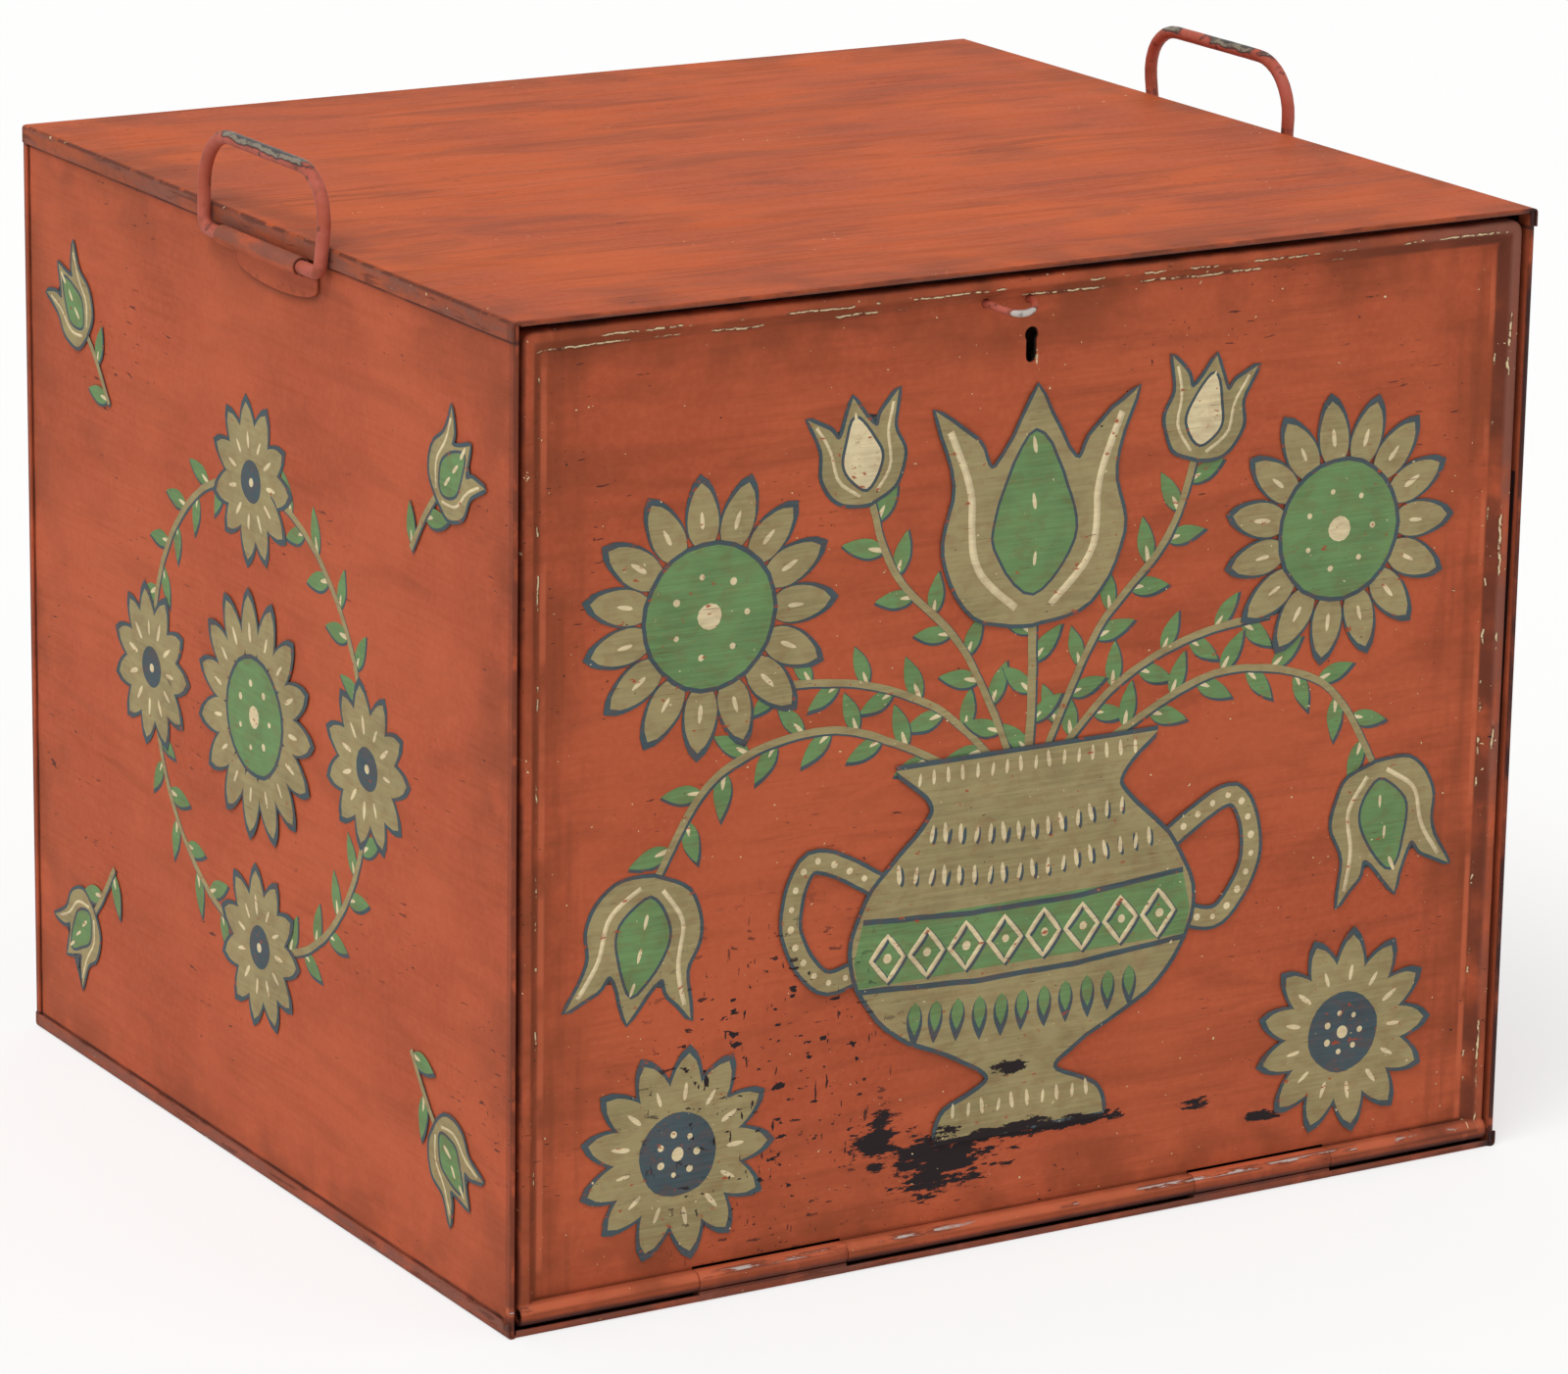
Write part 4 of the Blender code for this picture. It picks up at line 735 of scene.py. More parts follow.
def sheet_faces():
    """Every face of the box that is dressed or painted."""
    sheet = bpy.context.scene.deedbox_sheet
    depth, top, side, back, flap = sheet.buckle, TOP_BOX, SIDE_BOX, BACK_BOX, FLAP_BOX
    panel_y = side[0].y + sheet.inset + sheet.recess
    wide, tall = (top[1].x, top[0].y, top[1].y), (-side[0].y, side[0].z, side[1].z)
    return {
        "top_panel": Face((0, 0, top[1].z), (1, 0, 0), (0, 0, 1), *wide, depth, 1.3, (0, 1, 0)),
        "bottom_panel": Face((0, 0, 0), (1, 0, 0), (0, 0, -1), *wide, 0, 0, (0, -1, 0)),
        "left_side_panel": Face((side[0].x, 0, 0), (0, -1, 0), (-1, 0, 0), *tall, depth, 2.7),
        "right_side_panel": Face((-side[0].x, 0, 0), (0, 1, 0), (1, 0, 0), *tall, depth, 4.1),
        "back_panel": Face((0, back[1].y, 0), (-1, 0, 0), (0, 1, 0), back[1].x, back[0].z, back[1].z,
                           depth, 5.9),
        "front_flap": Face((0, panel_y, 0), (1, 0, 0), (0, -1, 0), flap[1].x - sheet.rim,
                           flap[0].z + sheet.rim, flap[1].z - sheet.rim, sheet.flap_buckle, 7.2),
    }


def new_tree(name, *sockets):
    """Empty Geometry Nodes tree with geometry in and out and the named inputs."""
    tree = bpy.data.node_groups.new(name, "GeometryNodeTree")
    tree.interface.new_socket("Geometry", in_out="INPUT", socket_type="NodeSocketGeometry")
    tree.interface.new_socket("Geometry", in_out="OUTPUT", socket_type="NodeSocketGeometry")
    for label, kind, value in sockets:
        socket = tree.interface.new_socket(label, in_out="INPUT", socket_type="NodeSocket" + kind)
        if value is not None:
            socket.default_value = value
    return tree, tree.nodes.new("NodeGroupInput").outputs


def end_tree(tree, shape, material):
    made = add(tree, "GeometryNodeRealizeInstances", {"Geometry": shape})
    made = add(tree, "GeometryNodeSetMaterial", {"Geometry": made, "Material": material})
    tree.links.new(made, tree.nodes.new("NodeGroupOutput").inputs[0])
    return tree


def unsteady(tree, shape, reach, grain, ways):
    """Shift points by a smooth noise, as a hand strays, along the ways that are 1."""
    place = add(tree, "GeometryNodeInputPosition")
    stray = add(tree, "ShaderNodeTexNoise", {"Vector": place, "Scale": grain, "Detail": 1}, 1)
    stray = add(tree, "ShaderNodeVectorMath", {0: stray, 1: (0.5, 0.5, 0.5)}, operation="SUBTRACT")
    reach = add(tree, "ShaderNodeMath", {0: reach, 1: 2}, operation="MULTIPLY")
    stray = add(tree, "ShaderNodeVectorMath", {0: stray, "Scale": reach}, operation="SCALE")
    stray = add(tree, "ShaderNodeVectorMath", {0: stray, 1: ways}, operation="MULTIPLY")
    return add(tree, "GeometryNodeSetPosition", {"Geometry": shape, "Offset": stray})


def even_path(tree, given):
    """Curve along the given edges, with points a step apart."""
    path = add(tree, "GeometryNodeMeshToCurve", {"Mesh": given["Geometry"]})
    return add(tree, "GeometryNodeResampleCurve", {"Curve": path, "Length": given["Step"]},
               mode="LENGTH")


def brush_line_tree():
    """Flat strokes along paths, full in the middle and thin at the ends."""
    tree, given = new_tree("brush_lines", ("Width", "Float", 0.002), ("Thin Ends", "Float", 0.7),
                           ("Step", "Float", 0.003), ("Unsteadiness", "Float", 0.0005),
                           ("Paint", "Material", None))
    path = even_path(tree, given)
    along = add(tree, "GeometryNodeSplineParameter")
    ends = add(tree, "ShaderNodeMath", {0: along, 1: 2, 2: -1}, operation="MULTIPLY_ADD")
    ends = add(tree, "ShaderNodeMath", {0: ends, 1: 4}, operation="POWER")
    ends = add(tree, "ShaderNodeMath", {0: ends, 1: given["Thin Ends"]}, operation="MULTIPLY")
    full = add(tree, "ShaderNodeMath", {0: 1, 1: ends}, operation="SUBTRACT")
    path = add(tree, "GeometryNodeSetCurveRadius", {"Curve": path, "Radius": full})
    path = add(tree, "GeometryNodeSetCurveNormal", {"Curve": path}, mode="Z_UP")
    half = add(tree, "ShaderNodeMath", {0: given["Width"], 1: 0.5}, operation="MULTIPLY")
    right = add(tree, "ShaderNodeCombineXYZ", {0: half})
    left = add(tree, "ShaderNodeVectorMath", {0: right, "Scale": -1}, operation="SCALE")
    brush = add(tree, "GeometryNodeCurvePrimitiveLine", {"Start": left, "End": right})
    mark = add(tree, "GeometryNodeCurveToMesh", {"Curve": path, "Profile Curve": brush})
    mark = unsteady(tree, mark, given["Unsteadiness"], 90, (1, 1, 0))
    return end_tree(tree, mark, given["Paint"])


def stroke_tree():
    """One brush mark repeated along paths: leaves on a stem, petals on a ring, rows of dashes."""
    tree, given = new_tree("brush_marks", ("Mark", "Object", None), ("Spacing", "Float", 0.01),
                           ("Turn", "Float", 0.0), ("Swap Sides", "Float", 0.0),
                           ("Sway", "Float", 0.1), ("Smallest", "Float", 0.85),
                           ("Largest", "Float", 1.1), ("Lift", "Float", 0.0), ("Seed", "Int", 0),
                           ("Unsteadiness", "Float", 0.0003), ("Paint", "Material", None))
    path = add(tree, "GeometryNodeMeshToCurve", {"Mesh": given["Geometry"]})
    spots = add(tree, "GeometryNodeCurveToPoints", {"Curve": path, "Length": given["Spacing"]}, "Points",
                mode="LENGTH")
    tangent = spots.node.outputs["Tangent"]
    index = add(tree, "GeometryNodeInputIndex")
    climb = add(tree, "ShaderNodeMath", {0: index, 1: given["Lift"]}, operation="MULTIPLY")
    climb = add(tree, "ShaderNodeCombineXYZ", {2: climb})
    spots = add(tree, "GeometryNodeSetPosition", {"Geometry": spots, "Offset": climb})
    side = add(tree, "ShaderNodeMath", {0: index, 1: 2}, operation="MODULO")
    side = add(tree, "ShaderNodeMath", {0: side, 1: given["Swap Sides"]}, operation="MULTIPLY")
    side = add(tree, "ShaderNodeMath", {0: side, 1: -2, 2: 1}, operation="MULTIPLY_ADD")
    turn = add(tree, "ShaderNodeMath", {0: side, 1: given["Turn"]}, operation="MULTIPLY")
    back = add(tree, "ShaderNodeMath", {0: given["Sway"], 1: -1}, operation="MULTIPLY")
    sway = add(tree, "FunctionNodeRandomValue", {"Min": back, "Max": given["Sway"],
                                                 "Seed": given["Seed"]}, 1, data_type="FLOAT")
    turn = add(tree, "ShaderNodeMath", {0: turn, 1: sway}, operation="ADD")
    heading = add(tree, "FunctionNodeAlignRotationToVector", {"Vector": tangent}, axis="X",
                  pivot_axis="Z")
    spin = add(tree, "FunctionNodeAxisAngleToRotation", {"Axis": (0, 0, 1), "Angle": turn})
    heading = add(tree, "FunctionNodeRotateRotation", {"Rotation": heading, "Rotate By": spin},
                  rotation_space="LOCAL")
    size = add(tree, "FunctionNodeRandomValue", {"Min": given["Smallest"], "Max": given["Largest"],
                                                 "Seed": given["Seed"]}, 1, data_type="FLOAT")
    mark = add(tree, "GeometryNodeObjectInfo", {"Object": given["Mark"]}, "Geometry")
    marks = add(tree, "GeometryNodeInstanceOnPoints", {"Points": spots, "Instance": mark,
                                                       "Rotation": heading, "Scale": size})
    marks = add(tree, "GeometryNodeRealizeInstances", {"Geometry": marks})
    marks = unsteady(tree, marks, given["Unsteadiness"], 140, (1, 1, 0))
    return end_tree(tree, marks, given["Paint"])


def rod_tree():
    """Round rod or wire bent along a path, with the flats that a hammer leaves."""
    tree, given = new_tree("bent_rod", ("Radius", "Float", 0.0026), ("Step", "Float", 0.0015),
                           ("Sides", "Int", 20), ("Hammer Marks", "Float", 0.0001),
                           ("Finish", "Material", None))
    path = even_path(tree, given)
    ring = add(tree, "GeometryNodeCurvePrimitiveCircle", {"Resolution": given["Sides"],
                                                          "Radius": given["Radius"]})
    rod = add(tree, "GeometryNodeCurveToMesh", {"Curve": path, "Profile Curve": ring,
                                                "Fill Caps": True})
    rod = unsteady(tree, rod, given["Hammer Marks"], 110, (1, 1, 1))
    return end_tree(tree, rod, given["Finish"])


def run_tree(tree, mesh, inputs):
    """Plain mesh that a tree makes from a mesh of paths."""
    carrier = bpy.data.objects.new(tree.name, mesh)
    bpy.context.scene.collection.objects.link(carrier)
    modifier = carrier.modifiers.new(tree.name, "NODES")
    modifier.node_group = tree
    names = {item.name: item.identifier for item in tree.interface.items_tree
             if item.in_out == "INPUT"}
    for label, value in inputs.items():
        modifier[names[label]] = value
    graph = bpy.context.evaluated_depsgraph_get()
    made = bpy.data.meshes.new_from_object(carrier.evaluated_get(graph))
    bpy.data.objects.remove(carrier)
    return made


def path_mesh(paths, closed=False):
    """Mesh of bare edges along paths of points."""
    points, edges = [], []
    for path in paths:
        first = len(points)
        points += path
        edges += [(first + i, first + i + 1) for i in range(len(path) - 1)]
        if closed:
            edges.append((len(points) - 1, first))
    mesh = bpy.data.meshes.new("paths")
    mesh.from_pydata(points, edges, [])
    return mesh


def rounded(corners, steps=8):
    """Path through corners, each given with the radius of its bend."""
    made = []
    for i, (corner, radius) in enumerate(corners):
        if radius <= 0:
            made.append(corner)
            continue
        to_last = (corners[i - 1][0] - corner).normalized()
        to_next = (corners[(i + 1) % len(corners)][0] - corner).normalized()
        half = to_last.angle(to_next) / 2
        start, end = (corner + d * (radius / math.tan(half)) for d in (to_last, to_next))
        centre = corner + (to_last + to_next).normalized() * (radius / math.sin(half))
        first, last = start - centre, end - centre
        sweep = first.angle(last)
        for k in range(steps + 1):
            t = k / steps
            arm = (first * math.sin((1 - t) * sweep) + last * math.sin(t * sweep)) / math.sin(sweep)
            made.append(centre + arm)
    return made


def spline(points, steps=7, closed=False):
    """Smooth line through a few points."""
    count = len(points)
    made = []
    for i in range(count if closed else count - 1):
        a, b, c, d = (Vector(points[k % count if closed else min(max(k, 0), count - 1)])
                      for k in range(i - 1, i + 3))
        for k in range(steps):
            t = k / steps
            made.append(0.5 * (2 * b + (c - a) * t + (2 * a - 5 * b + 4 * c - d) * t * t
                               + (3 * b - a - 3 * c + d) * t ** 3))
    if not closed:
        made.append(Vector(points[-1]))
    return made


def mirrored(points):
    return [(-x, y) for x, y in points]


def ring(centre, radius, steps=48):
    return [Vector((centre[0] + radius * math.cos(2 * math.pi * i / steps),
                    centre[1] + radius * math.sin(2 * math.pi * i / steps))) for i in range(steps)]


def lens(size, width, blunt, steps=9):
    """Outline of a brush mark that starts at the origin: pointed when blunt is 1, round when less."""
    upper = []
    for i in range(steps + 1):
        t = i / steps
        upper.append((size * t, width / 2 * math.sin(math.pi * t ** 0.8) ** blunt))
    return upper + [(x, -y) for x, y in reversed(upper[1:-1])]


def mark_object(name, outline):
    """Template of one flat brush mark."""
    mesh = bpy.data.meshes.new(name)
    mesh.from_pydata([(x, y, 0) for x, y in outline], [], [range(len(outline))])
    return bpy.data.objects.new(name, mesh)


class Painting:
    """Brush marks in millimetres on one face of the box, each laid over the ones before."""

    def __init__(self, face, paints, seed):
        self.face, self.paints, self.seed = face, paints, seed
        self.meshes = {tint: [] for tint in paints}
        self.lift = FIRST_COAT
        noise.seed_set(seed)  # or else every run would stray in its own way
        self.ornament = bpy.context.scene.deedbox_ornament
        o = self.ornament
        outlines = {"leaf": lens(o.leaf, o.leaf_width, 0.9), "dash": lens(o.dash, o.dash_width, 0.5),
                    "petal": lens(o.petal, o.petal_width, 0.6),
                    "dot": [(o.dot * math.cos(a), o.dot * math.sin(a))
                            for a in (math.pi * i / 6 for i in range(12))]}
        self.marks = {name: mark_object(name, outline) for name, outline in outlines.items()}
        self.trees = brush_line_tree(), stroke_tree()

    def next_coat(self, count=1):
        self.lift += COAT * count
        return self.lift

    def paths(self, lines, closed):
        lift = self.next_coat()
        return path_mesh([[(p[0] * MM, p[1] * MM, lift) for p in line] for line in lines], closed)

    def fill(self, tint, outline):
        """One flat shape with a hand-drawn edge."""
        bm = bmesh.new()
        lift = self.next_coat()
        corners = []
        for x, y in (p[:2] for p in outline):
            stray = noise.noise_vector(Vector((x / EDGE_WAVE, y / EDGE_WAVE, self.seed)))
            corners.append(bm.verts.new(((x + EDGE_STRAY * stray.x) * MM,
                                         (y + EDGE_STRAY * stray.y) * MM, lift)))
        face = bm.faces.new(corners)
        face.normal_update()
        if face.normal.z < 0:
            face.normal_flip()
        bmesh.ops.triangulate(bm, faces=bm.faces[:])
        cell = bpy.context.scene.deedbox_sheet.cell / FILL_CELLS
        for i, way in enumerate((Vector((1, 0, 0)), Vector((0, 1, 0)))):
            places = [v.co[i] for v in bm.verts]
            cut_cells(bm, cell, way, min(places), max(places))
        mesh = bpy.data.meshes.new("fill")
        bm.to_mesh(mesh)
        bm.free()
        self.meshes[tint].append(mesh)

    def lines(self, tint, lines, width, thin=0.7, closed=False):
        """Strokes along paths."""
        made = run_tree(self.trees[0], self.paths(lines, closed),
                        {"Width": width * MM, "Thin Ends": 0.0 if closed else thin,
                         "Unsteadiness": self.ornament.unsteady, "Paint": self.paints[tint]})
        self.meshes[tint].append(made)

    def repeat(self, tint, mark, lines, spacing, turn=0.0, swap=0.0, sway=0.1, size=(0.85, 1.1),
               closed=False, overlap=0, again=False):
        """Marks along paths, with a coat's height each where they overlap.

        Marks made again have the sway and the sizes of the ones before, as a shadow has.
        """
        self.seed += 0 if again else 1
        made = run_tree(self.trees[1], self.paths(lines, closed),
                        {"Mark": self.marks[mark], "Spacing": spacing * MM, "Turn": turn,
                         "Swap Sides": float(swap), "Sway": sway, "Smallest": size[0],
                         "Largest": size[1], "Lift": COAT if overlap else 0.0,
                         "Seed": int(self.seed), "Unsteadiness": self.ornament.unsteady * 0.6,
                         "Paint": self.paints[tint]})
        self.next_coat(overlap)
        self.meshes[tint].append(made)

    def lay(self, name, body):
        """Bend every mark onto its face, close it into a thin coat, and make a piece of each colour."""
        for tint, meshes in self.meshes.items():
            bm = bmesh.new()
            for mesh in meshes:
                bm.from_mesh(mesh)
            bmesh.ops.remove_doubles(bm, verts=bm.verts, dist=COAT / 8)
            for f in bm.faces:
                f.normal_update()
                if f.normal.z < 0:
                    f.normal_flip()
            for v in bm.verts:
                v.co = self.face.point(v.co.x, v.co.y, v.co.z)
            bm.normal_update()
            made = bmesh.ops.extrude_face_region(bm, geom=bm.faces[:], use_keep_orig=True)
            for v in made["geom"]:
                if isinstance(v, bmesh.types.BMVert):
                    v.co -= self.face.out * PAINT_DEPTH
            bmesh.ops.recalc_face_normals(bm, faces=bm.faces[:])
            mesh = bpy.data.meshes.new(f"{name}_{tint}")
            bm.to_mesh(mesh)
            bm.free()
            if tint != "cream":  # cream lies thick, so its strokes stay rounded
                shade(mesh)
            mesh.materials.clear()
            mesh.materials.append(self.paints[tint])
            new_piece(f"{name}_{tint}", mesh, body, "red_paint")
        for mark in self.marks.values():
            bpy.data.objects.remove(mark)


def turned(points, base, heading, size):
    """Shape drawn upright at the origin, set at a base and pointing along a heading."""
    c, s = math.cos(heading - math.pi / 2), math.sin(heading - math.pi / 2)
    return [Vector((base[0] + size * (x * c - y * s), base[1] + size * (x * s + y * c)))
            for x, y in (p[:2] for p in points)]


def grown(points, by):
    """Outline moved outwards along its own normals."""
    area = sum(a[0] * b[1] - b[0] * a[1] for a, b in zip(points, points[1:] + points[:1]))
    made = []
    for i, p in enumerate(points):
        a, b = Vector(points[i - 1][:2]), Vector(points[(i + 1) % len(points)][:2])
        way = (b - a).normalized() * (1 if area > 0 else -1)
        made.append(Vector(p[:2]) + Vector((way.y, -way.x)) * by)
    return made


def tulip(picture, base, heading, size, inner="green"):
    """Cup of three points with a drop inside it."""
    half = spline([(0, 0), (0.3, 0.07), (0.46, 0.36), (0.41, 0.66), (0.52, 1.0)], 5)[:-1]
    half += spline([(0.52, 1.0), (0.3, 0.84), (0.2, 0.72), (0, 1.06)], 5)
    cup = half + [Vector((-p.x, p.y)) for p in reversed(half[1:-1])]
    drop = spline([(0, 0.14), (0.2, 0.36), (0.16, 0.6), (0, 0.86), (-0.16, 0.6), (-0.2, 0.36)], 5,
                  True)
    cup, drop = (turned(shape, base, heading, size) for shape in (cup, drop))
    picture.fill("slate", grown(cup, 1.5))
    picture.fill("olive", cup)
    picture.fill("slate", grown(drop, 1.2))
    picture.fill(inner, drop)
    veins = [spline([(s * 0.09, 0.08), (s * 0.3, 0.3), (s * 0.33, 0.62), (s * 0.44, 0.9)])
             for s in (-1, 1)]
    picture.lines("cream", [turned(vein, base, heading, size) for vein in veins], size * 0.035)
    picture.repeat("cream", "dash", [turned([(0, 0.26), (0, 0.76)], base, heading, size)], size * 0.17,
                   sway=0.25, size=(0.7, 0.95))


def rosette(picture, centre, radius, petals, inner="green"):
    """Ring of petals about a dotted eye."""
    petal = picture.ornament.petal / MM
    eye = radius - petal * 0.96
    path = ring(centre, eye)
    gap = 0.998 * sum((a - b).length for a, b in zip(path, path[1:] + path[:1])) / petals
    for tint, size in (("slate", 1.13), ("olive", 1.0)):
        picture.repeat(tint, "petal", [path], gap, -math.pi / 2, sway=0.05,
                       size=(size * 0.97, size * 1.02), closed=True, overlap=petals,
                       again=tint == "olive")
    picture.repeat("cream", "dash", [ring(centre, eye + petal * 0.3)], gap * (1 + petal * 0.3 / eye),
                   -math.pi / 2, sway=0.1, size=(0.8, 1.1), closed=True)
    picture.fill("slate", ring(centre, eye + 3.4, 26))
    picture.fill(inner, ring(centre, eye + 1.6, 26))
    roomy = eye > 8
    if roomy:
        picture.repeat("cream", "dot", [ring(centre, eye * 0.62)], eye * 0.62, size=(0.55, 0.8),
                       closed=True)
    picture.fill("cream", ring(centre, eye * (0.2 if roomy else 0.36), 12))


def stem(picture, points, width=1.0):
    """Stem with a dark side and leaves to left and right."""
    path = spline(points)
    spacing, thick = picture.ornament.leaf_spacing / MM, picture.ornament.stem / MM * width
    for tint, mark, shift, size in (("slate", "leaf", (0.6, -0.9), (0.92, 1.05)),
                                    ("green", "leaf", (0, 0), (0.85, 1.0)),
                                    ("cream", "dash", (0, 0), (0.75, 1.0))):
        picture.repeat(tint, mark, [[p + Vector(shift) for p in path[len(path) // 8:]]], spacing, 0.85,
                       True, 0.12, size, again=tint != "slate")
    picture.lines("slate", [[p + Vector((0.7, -0.7)) for p in path]], thick)
    picture.lines("olive", [path], thick * 0.9)


def lozenges(left, right, middle, half, count):
    """Row of diamonds, each a closed path."""
    step = (right - left) / count
    return [[Vector((left + step * (i + 0.5 + a * 0.42), middle + b * half))
             for a, b in ((-1, 0), (0, -1), (1, 0), (0, 1))] for i in range(count)]


def paint_urn(picture, size):
    """Footed urn with a belt of lozenges, rows of dashes and a cup of drops."""
    def scaled(points):
        return [Vector((p[0] * size, 44 + (p[1] - 44) * size)) for p in points]

    half = spline([(34, 44), (30, 54), (13, 63), (26, 73), (54, 88), (68, 112), (60, 136), (41, 155),
                   (38, 164), (52, 177)], 6)
    body = scaled(half + [Vector((-p.x, p.y)) for p in reversed(half)])
    ears = [scaled(spline([(side * x, y) for x, y in ((58, 138), (84, 150), (92, 128), (80, 108),
                                                      (64, 110))])) for side in (1, -1)]
    picture.lines("slate", ears, 10, 0.3)
    picture.lines("olive", ears, 7, 0.3)
    picture.repeat("cream", "dot", ears, 7.5, size=(0.6, 0.8))
    picture.fill("slate", grown(body, 1.8))
    picture.fill("olive", body)
    edge = [(65.5, 103), (67.5, 112), (64, 125)]
    picture.fill("green", scaled(edge + [(-x, y) for x, y in reversed(edge)]))
    picture.lines("slate", [scaled([(-66, 102), (-20, 99), (20, 99), (66, 102)]),
                            scaled([(-64, 126), (-20, 123), (20, 123), (64, 126)])], 2.2, 0.4)
    row = [scaled(path) for path in lozenges(-62, 62, 112, 8, 8)]
    picture.lines("slate", [[p + Vector((0.8, -0.8)) for p in path] for path in row], 2.4, closed=True)
    picture.lines("cream", row, 1.9, closed=True)
    picture.repeat("cream", "dot", [scaled([(-54.25, 112), (55, 112)])], 15.5 * size,
                   size=(0.8, 1.0))
    rows = [scaled(spline(points)) for points in (((-50, 137), (0, 132), (50, 137)),
                                                  ((-38, 150), (0, 146), (38, 150)))]
    for shift, tint in ((1.1, "slate"), (0, "cream")):
        picture.repeat(tint, "dash", [[p + Vector((shift, -shift)) for p in path] for path in rows],
                       6.4, math.pi / 2, sway=0.2, size=(0.85, 1.1))
    drops = scaled(spline([(-43, 95), (0, 93), (43, 95)]))
    picture.repeat("slate", "leaf", [drops], 9.6, -math.pi / 2, sway=0.06, size=(0.85, 0.95))
    picture.repeat("green", "leaf", [drops], 9.6, -math.pi / 2, sway=0.06, size=(0.62, 0.7),
                   again=True)
    lower = [scaled([(-27, 51), (27, 51)]), scaled([(-43, 170), (43, 170)])]
    picture.repeat("cream", "dash", lower, 6.2, math.pi / 2, sway=0.15, size=(0.7, 0.95))


def paints_for(place, flap):
    """Oil colours of one painting, each with its own wear."""
    return {tint: ornament_paint(f"{place}_{tint}_oil", tint, wear, flap)
            for tint, wear in (("slate", 0.64), ("olive", 0.67), ("green", 0.68), ("cream", 0.63))}


class DEEDBOX_OT_case_sheets(bpy.types.Operator):
    """Dress the folded sheets of the case"""
    bl_idname = "deedbox.case_sheets"
    bl_label = "Case sheets"

    def execute(self, context):
        for place, paint in (("top", "top"), ("bottom", "foot"), ("left_side", "side"),
                             ("right_side", "side"), ("back", "back")):
            dress_sheet(f"{place}_panel", f"{place}_sheet", f"case_{paint}_red", "case")
        return {"FINISHED"}


class DEEDBOX_OT_drop_flap(bpy.types.Operator):
    """Dress the drop flap"""
    bl_idname = "deedbox.drop_flap"
    bl_label = "Drop flap"

    def execute(self, context):
        dress_sheet("front_flap", "drop_flap", "flap_red", "flap")
        return {"FINISHED"}


class DEEDBOX_OT_bail_handles(bpy.types.Operator):
    """Bend the two bail handles and roll their clips"""
    bl_idname = "deedbox.bail_handles"
    bl_label = "Bail handles"

    def execute(self, context):
        h, stock, tree = context.scene.deedbox_handle, finishes(), rod_tree()
        for side in ("left", "right"):
            pivot = PIVOT[f"{side}_handle_pivot"]
            low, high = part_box(f"{side}_handle")
            lean = (high.x - h.rod if side == "left" else low.x + h.rod) - pivot.x
            rise = Vector((lean, 0, high.z - h.rod - pivot.z))
            foot, top = Vector((0, h.foot, 0)), Vector((0, h.foot + h.flare, 0))
            corners = [(pivot - foot, h.foot_round), (pivot + rise - top, h.top_round),
                       (pivot + rise + top, h.top_round), (pivot + foot, h.foot_round)]
            mesh = run_tree(tree, path_mesh([rounded(corners)], True),
                            {"Radius": h.rod, "Hammer Marks": h.hammer,
                             "Finish": stock["handle_rod_paint"]})
            mesh.shade_smooth()
            new_piece(f"{side}_bail", mesh, f"{side}_handle", "handle_paint", f"{side}_handle")
            mesh = self.clip(h, side, pivot)
            mesh.materials.append(stock["clip_paint"])
            new_piece(f"{side}_clip", mesh, "case", "handle_paint", f"{side}_handle_clip")
        return {"FINISHED"}

    def clip(self, h, side, pivot):
        """Half-moon tail on the side, and the sleeve rolled from it round the rod."""
        low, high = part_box(f"{side}_handle_clip")
        reach = (high.y - low.y - h.tail_shift) / 2
        out = math.copysign(1, pivot.x)
        inner = out * (abs(SIDE_BOX[0].x) + CLIP_GAP) - pivot.x
        rolled = [math.radians(SLEEVE_START - SLEEVE_STEP * k) for k in range(SLEEVE_BENDS + 1)]
        bm = bmesh.new()
        for part in ("tail", "sleeve"):
            loops = []
            for i in range(CLIP_CELLS + 1):
                along = 2 * i / CLIP_CELLS - 1
                if part == "tail":
                    y = reach * along + math.copysign(h.tail_shift, pivot.y)
                    foot = h.tail_end + (h.tail - h.tail_end) * math.sqrt(max(0, 1 - along * along))
                    levels = [h.root - (h.root + foot) * k / TAIL_CELLS for k in range(TAIL_CELLS + 1)]
                    outline = [(inner + out * h.sheet, z) for z in levels]
                    outline += [(inner, z) for z in reversed(levels)]
                else:
                    y = reach * along
                    outline = [(-out * r * math.cos(a), r * math.sin(a)) for r, angles in
                               ((h.sleeve + h.sheet / 2, rolled), (h.sleeve - h.sheet / 2, rolled[::-1]))
                               for a in angles]
                loops.append([bm.verts.new(pivot + Vector((x, y, z))) for x, z in outline])
            for a, b in zip(loops, loops[1:]):
                for k in range(len(a)):
                    bm.faces.new((a[k - 1], a[k], b[k], b[k - 1]))
            bm.faces.new(loops[0])
            bm.faces.new(loops[-1])
        bmesh.ops.recalc_face_normals(bm, faces=bm.faces[:])
        mesh = bpy.data.meshes.new("clip")
        bm.to_mesh(mesh)
        bm.free()
        shade(mesh)
        return mesh


